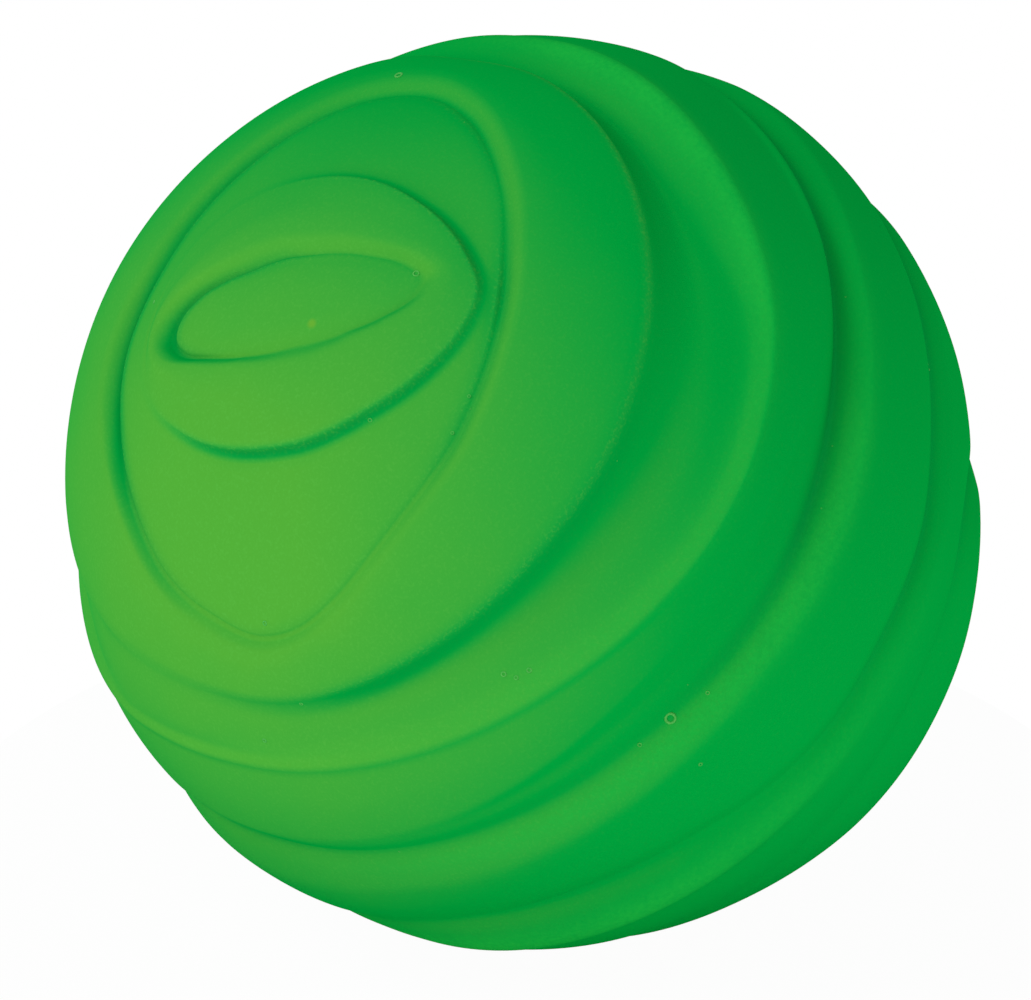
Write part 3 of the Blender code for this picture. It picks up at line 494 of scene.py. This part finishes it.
def profile_slopes(polar, height, kind):
    """Slopes before and after each row: smooth without overshoot, but broken at a crease or an edge."""
    run = np.diff(polar, axis=0)
    chord = np.diff(height, axis=0) / run
    before, after = chord[:-1], chord[1:]
    weight_1 = 2 * run[1:] + run[:-1]
    weight_2 = run[1:] + 2 * run[:-1]
    same_way = before * after > 0
    steep = np.where(same_way, before * after, 1.0)
    mean = (weight_1 + weight_2) * steep / np.where(same_way, weight_1 * after + weight_2 * before, 1.0)
    inner = np.where(same_way, mean, 0.0)
    broken = (kind[1:-1] != PLAIN)[:, None]
    flat = np.zeros((1, polar.shape[1]))
    arriving = np.concatenate([flat, np.where(broken, CREASE_EDGE * before, inner), flat])
    leaving = np.concatenate([flat, np.where(broken, CREASE_EDGE * after, inner), flat])
    return arriving, leaving


def bands(azimuths, polar, pairs, lies, reaches):
    """The strength of soft bands that lie beside some rings and change round the pole."""
    total = 0
    for (lies_at, share), lie, reach in zip(pairs, lies, reaches):
        off = (polar - ring(lies_at, azimuths) - lie) / reach
        total = total + ring(share, azimuths).clip(0, 1) * np.exp(-(off**2))
    return total


def fine_rows(azimuths):
    """The relief's rows with smooth ones between them.

    Five arrays: polar angle, height, painted shade in the creases and beside the lens's and bowl's edges,
    nearness to an edge for a painted highlight, and paler crests, partly wear and partly painted light.
    """
    polar, height, kind = relief_rows(azimuths)
    arriving, leaving = profile_slopes(polar, height, kind)
    deep = np.clip((DEEP_FROM - height[kind == CREASE]) / DEEP_OVER, 0, 1)
    fine_polar, fine_height = [], []
    for k in range(len(polar) - 1):
        run = polar[k + 1] - polar[k]
        steps = max(2, math.ceil(run.mean() / ROW_STEP))
        for step in range(steps):
            s = step / steps
            fine_polar.append(polar[k] + run * s)
            fine_height.append(
                height[k] * (1 + 2 * s) * (1 - s) ** 2
                + leaving[k] * run * s * (1 - s) ** 2
                + height[k + 1] * s**2 * (3 - 2 * s)
                + arriving[k + 1] * run * s**2 * (s - 1)
            )
    fine_polar = np.array(fine_polar[1:])
    fine_height = np.array(fine_height[1:])
    to_crease = fine_polar[:, None, :] - polar[kind == CREASE]
    to_crease /= np.where(to_crease < 0, *CREASE_REACH)
    # Painted highlight: nearness to a convex edge, full where the edge is sharp.
    to_edge = (fine_polar[:, None, :] - polar[kind == EDGE]) / EDGE_HIGHLIGHT_REACH
    bend = np.clip((arriving - leaving)[kind == EDGE] / EDGE_BEND, 0, 1)
    # Painted shade: darker latex in and beside the deeper creases, and bands of it beside the lens's and
    # bowl's edges.
    crease = (deep * np.exp(-(to_crease**2))).max(axis=1)
    shaded = ((LENS_EDGE, LENS_SHADE), (BOWL_EDGE, VALLEY_SHADE))
    crease = np.maximum(crease, bands(azimuths, fine_polar, shaded, SHADE_LIE, SHADE_REACH))
    # Paler crests: partly wear of the latex and partly painted light.
    crests = ((RIDGE_CREST, RIDGE_WEAR_AND_LIGHT), (NARROW_CREASE, BROAD_WEAR_AND_LIGHT), (WAIST_RIM, WAIST_WEAR_AND_LIGHT))
    paler_tone = bands(azimuths, fine_polar, crests, WEAR_AND_LIGHT_LIE, WEAR_AND_LIGHT_REACH)
    return fine_polar, fine_height, crease, (bend * np.exp(-(to_edge**2))).max(axis=1), paler_tone


def blend_down(a, b, reach):
    """The smaller of two lengths, with a fillet where they are about equal."""
    share = np.clip(0.5 + 0.5 * (b - a) / reach, 0, 1)
    return b + (a - b) * share - reach * share * (1 - share)


def with_land(points):
    """The points with the squeaker's land and its sloping skirt raised out of the relief round -Z."""
    reach = np.linalg.norm(points, axis=-1)
    across = np.hypot(points[..., 0], points[..., 1]) / reach
    down = -points[..., 2] / reach
    slope = SKIRT_SPREAD / SKIRT_RISE
    down = np.maximum(down, 0.5)  # keeps the divisions safe away from the base
    to_land = -land_z / down
    across_safe = across + 1e-6
    to_skirt = (land_radius - slope * land_z) / (across_safe + slope * down)
    boss = blend_down(to_land, to_skirt, LAND_EDGE)
    raised = -blend_down(-boss, -reach, SKIRT_FILLET)
    near_land = (points[..., 2] < -0.8 * BALL_RADIUS) & (across < 0.5)
    raised = points * (np.where(near_land, raised, reach) / reach)[..., None]
    raised[..., 2] = np.maximum(raised[..., 2], land_z)
    return raised


def on_ball(azimuth, polar):
    """The place on the ball's mean radius at an azimuth and a polar angle from the eye's pole."""
    azimuth, polar = math.radians(azimuth), math.radians(polar)
    flat = math.sin(polar)
    way = Vector((flat * math.cos(azimuth), flat * math.sin(azimuth), math.cos(polar)))
    return Matrix.Rotation(math.radians(EYE_TILT), 3, "X") @ way * BALL_RADIUS


def mesh_object(name, mesh, material=None):
    obj = bpy.data.objects.new(name, mesh)
    bpy.context.scene.collection.objects.link(obj)
    if material:
        mesh.materials.append(material)
    return obj


def fine_relief(name):
    """A UV sphere whose vertices lie on the relief's rows, with painted crease shade, nearness to edges for a
    painted highlight, and paler crests, partly wear and partly painted light, as attributes.
    """
    azimuths = np.arange(SKIN_COLUMNS) * 360 / SKIN_COLUMNS
    polar, height, crease, edge, paler_tone = fine_rows(azimuths)
    rows = len(polar)
    bm = bmesh.new()
    bmesh.ops.create_uvsphere(bm, u_segments=SKIN_COLUMNS, v_segments=rows + 1, radius=1.0)
    mesh = bpy.data.meshes.new(name)
    bm.to_mesh(mesh)
    bm.free()
    co = np.empty(len(mesh.vertices) * 3)
    mesh.vertices.foreach_get("co", co)
    co = co.reshape(-1, 3)
    row = np.rint(np.arccos(np.clip(co[:, 2], -1, 1)) / math.pi * (rows + 1)).astype(int)
    turn = np.degrees(np.arctan2(co[:, 1], co[:, 0]))
    column = np.rint(turn * SKIN_COLUMNS / 360).astype(int) % SKIN_COLUMNS
    pole = (row == 0) | (row == rows + 1)
    inside = np.clip(row - 1, 0, rows - 1)
    radius = BALL_RADIUS + RELIEF * height[inside, column]
    theta = np.radians(np.where(pole, np.where(row == 0, 0, 180), polar[inside, column]))
    phi = np.radians(azimuths[column])
    flat = radius * np.sin(theta)
    points = np.stack([flat * np.cos(phi), flat * np.sin(phi), radius * np.cos(theta)], -1)
    points = points @ np.array(Matrix.Rotation(math.radians(EYE_TILT), 3, "X")).T
    mesh.vertices.foreach_set("co", with_land(points).ravel())
    # The attributes: painted shade in the creases, nearness to an edge for a painted highlight, and paler
    # crests, partly wear and partly painted light.
    for attribute, value in (("painted_crease_shade", crease), ("edge", edge), ("paler_tone", paler_tone)):
        made = mesh.attributes.new(attribute, "FLOAT", "POINT")
        made.data.foreach_set("value", np.where(pole, 0, value[inside, column]))
    mesh.update()
    return mesh


def turned(name, profile, steps):
    """A closed profile of (radius, height) turned about Z into a mesh object."""
    bm = bmesh.new()
    corners = [bm.verts.new((x, 0, z)) for x, z in profile]
    for corner, after in zip(corners, corners[1:] + corners[:1]):
        if corner.co.x > 0 or after.co.x > 0:
            bm.edges.new((corner, after))
    bmesh.ops.spin(
        bm,
        geom=bm.verts[:] + bm.edges[:],
        cent=(0, 0, 0),
        axis=(0, 0, 1),
        angle=2 * math.pi,
        steps=steps,
        use_merge=True,
    )
    bmesh.ops.remove_doubles(bm, verts=bm.verts, dist=1e-7)
    bmesh.ops.recalc_face_normals(bm, faces=bm.faces)
    mesh = bpy.data.meshes.new(name)
    bm.to_mesh(mesh)
    bm.free()
    return mesh_object(name, mesh)


def rounded(corner, before, after, radius, steps=5):
    """Points of a fillet in place of a corner of a profile, as (radius, height) pairs."""
    corner, before, after = Vector(corner), Vector(before), Vector(after)
    start = corner + (before - corner).normalized() * radius
    end = corner + (after - corner).normalized() * radius
    points = []
    for step in range(steps + 1):
        t = step / steps
        points.append(tuple(start * (1 - t) ** 2 + corner * 2 * t * (1 - t) + end * t**2))
    return points


def seat_and_air_space():
    """What is not latex inside the ball: the flange's recess, the sleeve's hole and the air space."""
    below = land_z - SKIN_WALL
    floor_radius = math.sqrt(cavity_radius**2 - seat_inner_z**2)
    start = math.atan2(seat_inner_z, floor_radius)
    profile = [(0, below), (recess_radius + LIP_ROUND, below), (recess_radius + LIP_ROUND, land_z)]
    profile += rounded(
        (recess_radius, land_z),
        (recess_radius + LIP_ROUND, land_z),
        (recess_radius, land_z + LIP_ROUND),
        LIP_ROUND,
    )[1:]
    profile += [
        (recess_radius, seat_outer_z),
        (hole_radius, seat_outer_z),
        (hole_radius, seat_inner_z),
    ]
    for step in range(DOME_STEPS + 1):
        angle = start + (math.pi / 2 - start) * step / DOME_STEPS
        profile.append((cavity_radius * math.cos(angle), cavity_radius * math.sin(angle)))
    profile[-1] = (0, cavity_radius)
    return turned("seat_cutter", profile, SEAT_STEPS)


def latex_ball(material):
    """The relief with the squeaker's seat and the air space cut out of it."""
    ball = mesh_object("latex_ball", fine_relief("latex_ball"), material)
    cutter = seat_and_air_space()
    cut = ball.modifiers.new("seat", "BOOLEAN")
    cut.operation = "DIFFERENCE"
    cut.solver = "EXACT"
    cut.object = cutter
    made = bpy.data.meshes.new_from_object(ball.evaluated_get(bpy.context.evaluated_depsgraph_get()))
    ball.modifiers.clear()
    ball.data = made
    bpy.data.objects.remove(cutter)
    made.shade_smooth()
    bm = bmesh.new()
    bm.from_mesh(made)
    seat_reach = land_radius - LAND_WIDTH / 2
    for edge in bm.edges:
        middle = (edge.verts[0].co + edge.verts[1].co) / 2
        if middle.z < seat_inner_z + SEAT_GAP and middle.xy.length < seat_reach:
            edge.smooth = edge.calc_face_angle(0) < math.radians(SEAT_SHARP)
    bm.to_mesh(made)
    bm.free()
    return ball


def bubble_tree():
    """Nodes that put a low ring, as a burst air bubble leaves, on each point, and small ones at random."""
    tree = bpy.data.node_groups.new("air_bubbles", "GeometryNodeTree")
    sockets = {}
    for name, kind in (
        ("Geometry", "NodeSocketGeometry"),
        ("Density", "NodeSocketFloat"),
        ("Small Radius", "NodeSocketFloat"),
        ("Seed", "NodeSocketInt"),
        ("Material", "NodeSocketMaterial"),
    ):
        sockets[name] = tree.interface.new_socket(name, in_out="INPUT", socket_type=kind)
    tree.interface.new_socket("Geometry", in_out="OUTPUT", socket_type="NodeSocketGeometry")
    given = tree.nodes.new("NodeGroupInput").outputs
    result = tree.nodes.new("NodeGroupOutput").inputs

    def node(kind, values, **settings):
        made = tree.nodes.new(kind)
        for key, value in settings.items():
            setattr(made, key, value)
        for key, value in values.items():
            if isinstance(value, bpy.types.NodeSocket):
                tree.links.new(value, made.inputs[key])
            else:
                made.inputs[key].default_value = value
        return made.outputs

    def named(name, kind):
        return node("GeometryNodeInputNamedAttribute", {"Name": name}, data_type=kind)["Attribute"]

    size = named("bubble", "FLOAT")
    picked = node("GeometryNodeMeshToPoints", {"Mesh": given["Geometry"], "Selection": size})["Points"]
    # The painted crease shade also sets where the small bubbles are strewn.
    painted_crease_shade = named("painted_crease_shade", "FLOAT")
    dense = node("ShaderNodeMath", {0: given["Density"], 1: painted_crease_shade}, operation="MULTIPLY")[0]
    strewn = node(
        "GeometryNodeDistributePointsOnFaces",
        {"Mesh": given["Geometry"], "Density": dense, "Seed": given["Seed"]},
        distribute_method="RANDOM",
    )
    smallness = node(
        "FunctionNodeRandomValue",
        {"Min": 0.5, "Max": 1.0, "Seed": given["Seed"]},
        data_type="FLOAT",
    )["Value"]
    small = node("ShaderNodeMath", {0: smallness, 1: given["Small Radius"]}, operation="MULTIPLY")[0]
    path = node("GeometryNodeCurvePrimitiveCircle", {"Resolution": 12, "Radius": 1.0})["Curve"]
    tube = node("GeometryNodeCurvePrimitiveCircle", {"Resolution": 5, "Radius": BUBBLE_RIM})["Curve"]
    rim = node("GeometryNodeCurveToMesh", {"Curve": path, "Profile Curve": tube})["Mesh"]
    away = named("away", "FLOAT_VECTOR")
    turn = node("FunctionNodeAlignRotationToVector", {"Vector": away}, axis="Z")["Rotation"]
    rings = [
        node(
            "GeometryNodeInstanceOnPoints",
            {"Points": points, "Instance": rim, "Rotation": way, "Scale": scale},
        )
        for points, way, scale in ((picked, turn, size), (strewn["Points"], strewn["Rotation"], small))
    ]
    join = tree.nodes.new("GeometryNodeJoinGeometry")
    for made in rings:
        tree.links.new(made["Instances"], join.inputs["Geometry"])
    real = node("GeometryNodeRealizeInstances", {"Geometry": join.outputs["Geometry"]})["Geometry"]
    painted = node("GeometryNodeSetMaterial", {"Geometry": real, "Material": given["Material"]})["Geometry"]
    tree.links.new(painted, result["Geometry"])
    return tree, {name: socket.identifier for name, socket in sockets.items()}


def air_bubbles(ball, material):
    """The marks of air bubbles: the listed ones, and fine ones strewn along the creases."""
    bm = bmesh.new()
    bm.from_mesh(ball.data)
    skin = BVHTree.FromBMesh(bm)
    inner = [face for face in bm.faces if face.calc_center_median().length < BALL_RADIUS - 1.5 * RELIEF]
    bmesh.ops.delete(bm, geom=inner, context="FACES")
    size = bm.verts.layers.float.new("bubble")
    away = bm.verts.layers.float_vector.new("away")
    for azimuth, polar, radius in BUBBLES:
        place, normal, _, _ = skin.find_nearest(on_ball(azimuth, polar))
        point = bm.verts.new(place)
        point[size] = radius
        point[away] = normal
    mesh = bpy.data.meshes.new("air_bubbles")
    bm.to_mesh(mesh)
    bm.free()
    marks = mesh_object("air_bubbles", mesh, material)
    tree, identifiers = bubble_tree()
    nodes = marks.modifiers.new("bubbles", "NODES")
    nodes.node_group = tree
    values = {
        "Density": STREWN_DENSITY,
        "Small Radius": STREWN_RADIUS,
        "Seed": STREWN_SEED,
        "Material": material,
    }
    for name, value in values.items():
        nodes[identifiers[name]] = value
    made = bpy.data.meshes.new_from_object(marks.evaluated_get(bpy.context.evaluated_depsgraph_get()))
    marks.modifiers.clear()
    marks.data = made
    made.shade_smooth()
    return marks


def squeaker_sleeve(material):
    """The squeaker's body, turned from the same sizes as the solid, with its moulded edges rounded."""
    soft = EDGE_BREAK / 2
    outline = [
        ((BORE_RADIUS, SLEEVE_TOP), soft),
        ((sleeve_radius, SLEEVE_TOP), EDGE_BREAK),
        ((sleeve_radius, barb_z + BARB_THICKNESS + BARB_SLOPE), soft),
        ((barb_radius, barb_z + BARB_THICKNESS), soft),
        ((barb_radius, barb_z), soft),
        ((sleeve_radius, barb_z), 0),
        ((sleeve_radius, flange_back_z), 0),
        ((flange_radius, flange_back_z), soft),
        ((flange_radius, flange_face_z), EDGE_BREAK),
        ((AIR_HOLE_RADIUS, flange_face_z), EDGE_BREAK),
        ((AIR_HOLE_RADIUS, bore_floor_z), soft),
        ((BORE_RADIUS, bore_floor_z), 0),
    ]
    profile = []
    for i, (corner, radius) in enumerate(outline):
        if radius:
            profile += rounded(corner, outline[i - 1][0], outline[(i + 1) % len(outline)][0], radius)
        else:
            profile.append(corner)
    sleeve = turned("squeaker_sleeve", profile, SEAT_STEPS)
    sleeve.data.materials.append(material)
    sleeve.data.shade_smooth()
    sleeve.data.set_sharp_from_angle(angle=math.radians(SLEEVE_SHARP))
    return sleeve


class Number:
    """A number inside a material. Plain arithmetic on it adds Math nodes."""

    def __init__(self, recipe, socket):
        self.recipe = recipe
        self.socket = socket

    def maths(self, operation, *values):
        values = {i: value for i, value in enumerate(values)}
        return self.recipe.node("ShaderNodeMath", {"operation": operation}, values)

    def __add__(self, other):
        return self.maths("ADD", self, other)

    def __sub__(self, other):
        return self.maths("SUBTRACT", self, other)

    def __mul__(self, other):
        return self.maths("MULTIPLY", self, other)

    def __truediv__(self, other):
        return self.maths("DIVIDE", self, other)

    def __pow__(self, other):
        return self.maths("POWER", self, other)

    def __radd__(self, other):
        return self.maths("ADD", other, self)

    def __rsub__(self, other):
        return self.maths("SUBTRACT", other, self)

    def __rmul__(self, other):
        return self.maths("MULTIPLY", other, self)

    def clamped(self):
        return self.recipe.node("ShaderNodeClamp", {}, {"Value": self})

    def ease(self, low, high):
        """0 below low, 1 above high, and a smooth step between them."""
        settings = {"interpolation_type": "SMOOTHSTEP"}
        values = {"Value": self, "From Min": low, "From Max": high}
        return self.recipe.node("ShaderNodeMapRange", settings, values)


class Recipe:
    """A material's node tree, written as expressions."""

    def __init__(self, tree, world=False):
        self.tree = tree
        tree.nodes.clear()
        self.output = tree.nodes.new("ShaderNodeOutputWorld" if world else "ShaderNodeOutputMaterial")

    def node(self, kind, settings, values, output=0):
        made = self.tree.nodes.new(kind)
        for key, value in settings.items():
            setattr(made, key, value)
        for key, value in values.items():
            if isinstance(value, Number):
                self.tree.links.new(value.socket, made.inputs[key])
            else:
                made.inputs[key].default_value = value
        return Number(self, made.outputs[output])

    def place(self):
        return self.node("ShaderNodeTexCoord", {}, {}, "Object")

    def noise(self, at, size, detail=2.0, roughness=0.5):
        """Soft noise from 0 to 1 whose spots are about that size in metres."""
        values = {"Vector": at, "Scale": 1 / size, "Detail": detail, "Roughness": roughness}
        return self.node("ShaderNodeTexNoise", {}, values)

    def mix(self, share, low, high):
        """From one colour to another."""
        return self.node("ShaderNodeMix", {"data_type": "RGBA"}, {0: share, 6: low, 7: high}, 2)

    def vector(self, operation, first, second, output=0):
        return self.node("ShaderNodeVectorMath", {"operation": operation}, {0: first, 1: second}, output)

    def away(self, at, spot):
        """The distance from a place on the relief, given by azimuth and polar angle."""
        return self.vector("DISTANCE", at, tuple(on_ball(*spot)), 1)

    def plain_rays(self):
        """1 for what the camera sees, straight or in a mirror or glass, and 0 for light on the object."""
        kinds = ("Is Camera Ray", "Is Glossy Ray", "Is Transmission Ray")
        camera, glossy, through = [self.node("ShaderNodeLightPath", {}, {}, kind) for kind in kinds]
        return (camera + glossy + through).clamped()

    def bump(self, height, distance, strength):
        return self.node("ShaderNodeBump", {}, {"Height": height, "Distance": distance, "Strength": strength})

    def shade(self, **values):
        shader = self.node("ShaderNodeBsdfPrincipled", {}, {})
        made = shader.socket.node
        for key, value in values.items():
            key = key.replace("_", " ")
            if isinstance(value, Number):
                self.tree.links.new(value.socket, made.inputs[key])
            else:
                made.inputs[key].default_value = value
        self.finish(shader)

    def finish(self, shader):
        self.tree.links.new(shader.socket, self.output.inputs["Surface"])


def new_material(name):
    material = bpy.data.materials.new(name)
    material.use_nodes = True
    return material, Recipe(material.node_tree)


def colour(r, g, b):
    return (r, g, b, 1.0)


def view_axes():
    """Unit vectors from the ball to the camera, to the picture's right and up."""
    azimuth, elevation = math.radians(VIEW_AZIMUTH), math.radians(VIEW_ELEVATION)
    back = Vector(
        (
            math.sin(azimuth) * math.cos(elevation),
            -math.cos(azimuth) * math.cos(elevation),
            math.sin(elevation),
        )
    )
    right = Vector((math.cos(azimuth), math.sin(azimuth), 0))
    return back, right, back.cross(right)


def key_way():
    """From the ball towards the main light: from the upper left."""
    back, right, up = view_axes()
    return (-0.7 * right + 0.48 * up + 0.52 * back).normalized()


def green_latex():
    """Dipped latex with painted light and shade: yellower on the side that faces the light from the left and
    front, darker in the creases, with a fine moulded grain.
    """
    material, recipe = new_material("green_latex")
    at = recipe.place()
    normal = recipe.node("ShaderNodeTexCoord", {}, {}, "Normal")
    back, right, up = view_axes()
    # Painted light: the side of the ball that faces this way is coloured as lit, and the far side as shaded.
    painted_light_way = (-0.68 * right - 0.06 * up + 0.73 * back).normalized()
    faced = recipe.vector("DOT_PRODUCT", normal, tuple(painted_light_way), 1)
    lain = recipe.vector("DOT_PRODUCT", at, tuple(painted_light_way / BALL_RADIUS), 1)
    light_facing = faced * 0.7 + lain * 0.3
    # Painted shade in the creases and beside the lens's and bowl's edges.
    painted_crease_shade = recipe.node("ShaderNodeAttribute", {"attribute_name": "painted_crease_shade"}, {}, "Fac")
    # Nearness to a sharp edge, for a painted highlight.
    edge = recipe.node("ShaderNodeAttribute", {"attribute_name": "edge"}, {}, "Fac")
    # Paler crests: partly wear and partly painted light.
    paler_tone = recipe.node("ShaderNodeAttribute", {"attribute_name": "paler_tone"}, {}, "Fac")
    mottle = recipe.noise(at, MOTTLE_SIZE, 3.0)
    scuff = recipe.noise(at, SCUFF_SIZE, 3.0)
    grain = recipe.noise(at, GRAIN_SIZE, 2.0)
    fine = recipe.noise(at, FINE_SIZE, 1.0)
    # Painted shade and painted light: the latex's colour on its shaded side and on its lit side.
    painted_shade_side_green = colour(0.0, 0.375, 0.049)
    painted_lit_side_green = colour(0.077, 0.39, 0.037)
    # Painted shade in the creases.
    crease_shade_green = colour(0.0, 0.25, 0.045)
    # Paler crests: partly rubbed latex and partly painted light.
    rubbed_and_lit_green = colour(0.012, 0.47, 0.055)
    speck_green = colour(0.1, 0.47, 0.06)
    # Painted highlight along sharp edges.
    painted_highlight_green = colour(0.08, 0.46, 0.06)
    fleck_yellow = colour(0.17, 0.42, 0.03)
    line_green = colour(0.13, 0.45, 0.09)
    # Painted light: from the shaded to the lit colour as the surface faces the light, less in the painted
    # crease shade.
    painted_light = ((light_facing - 0.4) / 0.58 + (mottle - 0.5) * 0.2 - painted_crease_shade).clamped() ** 1.6
    latex = recipe.mix(painted_light, painted_shade_side_green, painted_lit_side_green)
    # Painted shade: the creases darker.
    latex = recipe.mix(painted_crease_shade * 0.7, latex, crease_shade_green)
    # Paler crests, partly rubbed latex and partly painted light, broken up by scuffs and mottle.
    rubbed = (paler_tone * (0.7 + (scuff - 0.5) * 1.1 + (mottle - 0.5))).clamped()
    latex = recipe.mix(rubbed, latex, rubbed_and_lit_green)
    # Pale specks of the grain: a real texture, made stronger on the painted lit side and along the painted
    # edge highlights.
    speck = ((grain - 0.5) * 4).clamped() * (0.03 + 0.3 * painted_light + 0.4 * edge)
    latex = recipe.mix(speck, latex, speck_green)
    # Painted highlight: sharp edges paler, as if they caught the light.
    latex = recipe.mix(edge * 0.15, latex, painted_highlight_green)
    fleck = 1 - recipe.away(at, YELLOW_FLECK).ease(0.15 * MM, 0.5 * MM)
    latex = recipe.mix(fleck * 0.6, latex, fleck_yellow)
    line = 0
    for start, end in zip(PALE_LINE, PALE_LINE[1:]):
        for step in range(PALE_STEPS):
            spot = [between(a, b, step / PALE_STEPS) for a, b in zip(start, end)]
            line = line + (1 - recipe.away(at, spot).ease(0.1 * MM, 0.3 * MM))
    latex = recipe.mix(line.clamped() * 0.35, latex, line_green)
    roughness = 0.62 + (grain - 0.5) * 0.2
    relief = grain * 0.7 + fine * 0.3
    recipe.shade(
        Base_Color=latex,
        Roughness=roughness,
        Specular_IOR_Level=0.0,
        Normal=recipe.bump(relief, GRAIN_HEIGHT, 0.5),
    )
    return material


def bubble_rim():
    """The thin raised rim of a burst bubble: paler, as thin latex is."""
    material, recipe = new_material("bubble_rim")
    tone = recipe.noise(recipe.place(), 0.2 * MM)
    recipe.shade(
        Base_Color=recipe.mix(tone, colour(0.02, 0.4, 0.05), colour(0.12, 0.5, 0.09)),
        Roughness=0.5,
        Specular_IOR_Level=0.2,
    )
    return material


def moulded_plastic(name, body, paler_tone, roughness):
    """Injection-moulded plastic: faint flow marks in a paler tone and a satin skin."""
    material, recipe = new_material(name)
    at = recipe.place()
    flow = recipe.noise(at, 3 * MM, 3.0)
    satin = recipe.noise(at, 0.12 * MM, 2.0)
    tone = recipe.mix((flow * 1.6 - 0.4).clamped(), body, paler_tone)
    recipe.shade(
        Base_Color=tone,
        Roughness=roughness + (satin - 0.5) * 0.15,
        Normal=recipe.bump(satin, 0.01 * MM, 0.3),
    )
    return material


def soft_lamp(name, way, energy):
    """A square soft box that shines on the ball from a way."""
    data = bpy.data.lights.new(name, "AREA")
    data.energy = energy
    data.size = LAMP_SIZE
    lamp = bpy.data.objects.new(name, data)
    lamp.location = way * LAMP_DISTANCE
    lamp.rotation_euler = way.to_track_quat("Z", "Y").to_euler()
    bpy.context.scene.collection.objects.link(lamp)


def studio():
    """A small white table and surround, a soft key from the upper left, a fill and the camera."""
    back, right, up = view_axes()
    scene = bpy.context.scene
    world = bpy.data.worlds.new("studio")
    world.use_nodes = True
    scene.world = world
    recipe = Recipe(world.node_tree, world=True)
    way = recipe.node("ShaderNodeTexCoord", {}, {}, "Generated")
    bright_way = (-0.05 * right - 0.75 * up - 0.66 * back).normalized()
    toward = recipe.vector("DOT_PRODUCT", way, tuple(bright_way), 1)
    seen = recipe.plain_rays()
    light = SURROUND_LIGHT * (1 + SURROUND_SLANT * toward)
    soft = recipe.node("ShaderNodeBackground", {}, {"Color": colour(1, 1, 1), "Strength": light})
    plain = recipe.node("ShaderNodeBackground", {}, {"Color": colour(1, 1, 1), "Strength": 1.0})
    recipe.finish(recipe.node("ShaderNodeMixShader", {}, {0: seen, 1: soft, 2: plain}))

    fill_way = (0.2 * right - 0.2 * up + 0.96 * back).normalized()
    soft_lamp("key", key_way(), KEY_POWER)
    soft_lamp("fill", fill_way, FILL_POWER)

    bm = bmesh.new()
    bmesh.ops.create_circle(bm, cap_ends=True, segments=TABLE_STEPS, radius=TABLE_RADIUS)
    bmesh.ops.translate(bm, verts=bm.verts, vec=(0, 0, land_z - TABLE_GAP))
    mesh = bpy.data.meshes.new("floor")
    bm.to_mesh(mesh)
    bm.free()
    material, recipe = new_material("white_floor")
    seen = recipe.plain_rays()
    card = recipe.node("ShaderNodeBsdfDiffuse", {}, {"Color": colour(0.85, 0.85, 0.85)})
    white = recipe.node("ShaderNodeEmission", {}, {"Color": colour(1, 1, 1), "Strength": 1.0})
    recipe.finish(recipe.node("ShaderNodeMixShader", {}, {0: seen * TABLE_WHITE, 1: card, 2: white}))
    mesh_object("floor", mesh, material)

    camera_data = bpy.data.cameras.new("camera")
    camera_data.lens = LENS
    camera_data.shift_x = (PHOTO_WIDTH / 2 - BALL_PIXEL[0]) / PHOTO_WIDTH
    camera_data.shift_y = (BALL_PIXEL[1] - PHOTO_HEIGHT / 2) / PHOTO_WIDTH
    camera = bpy.data.objects.new("camera", camera_data)
    camera.location = back * VIEW_DISTANCE
    camera.rotation_euler = Matrix((right, up, back)).transposed().to_euler()
    scene.collection.objects.link(camera)
    scene.camera = camera
    scene.view_settings.view_transform = "Standard"


def main():
    latex = green_latex()
    ball = latex_ball(latex)
    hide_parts("ball_skin")
    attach(ball, "ball")
    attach(air_bubbles(ball, bubble_rim()), "ball")

    white = moulded_plastic("white_plastic", colour(0.78, 0.78, 0.75), colour(0.84, 0.84, 0.82), 0.38)
    sleeve = squeaker_sleeve(white)
    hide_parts("squeaker_body")
    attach(sleeve, "ball")

    finishes = {
        "tone_board": ("board_plastic", colour(0.72, 0.72, 0.69), colour(0.8, 0.8, 0.78), 0.42),
        "reed_clamp": ("clamp_plastic", colour(0.7, 0.71, 0.7), colour(0.78, 0.79, 0.78), 0.42),
        "reed": ("clear_film", colour(0.84, 0.86, 0.88), colour(0.9, 0.91, 0.92), 0.2),
    }
    for node, finish in finishes.items():
        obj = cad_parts[node]
        obj.data.materials.clear()
        obj.data.materials.append(moulded_plastic(*finish))
    studio()


main()
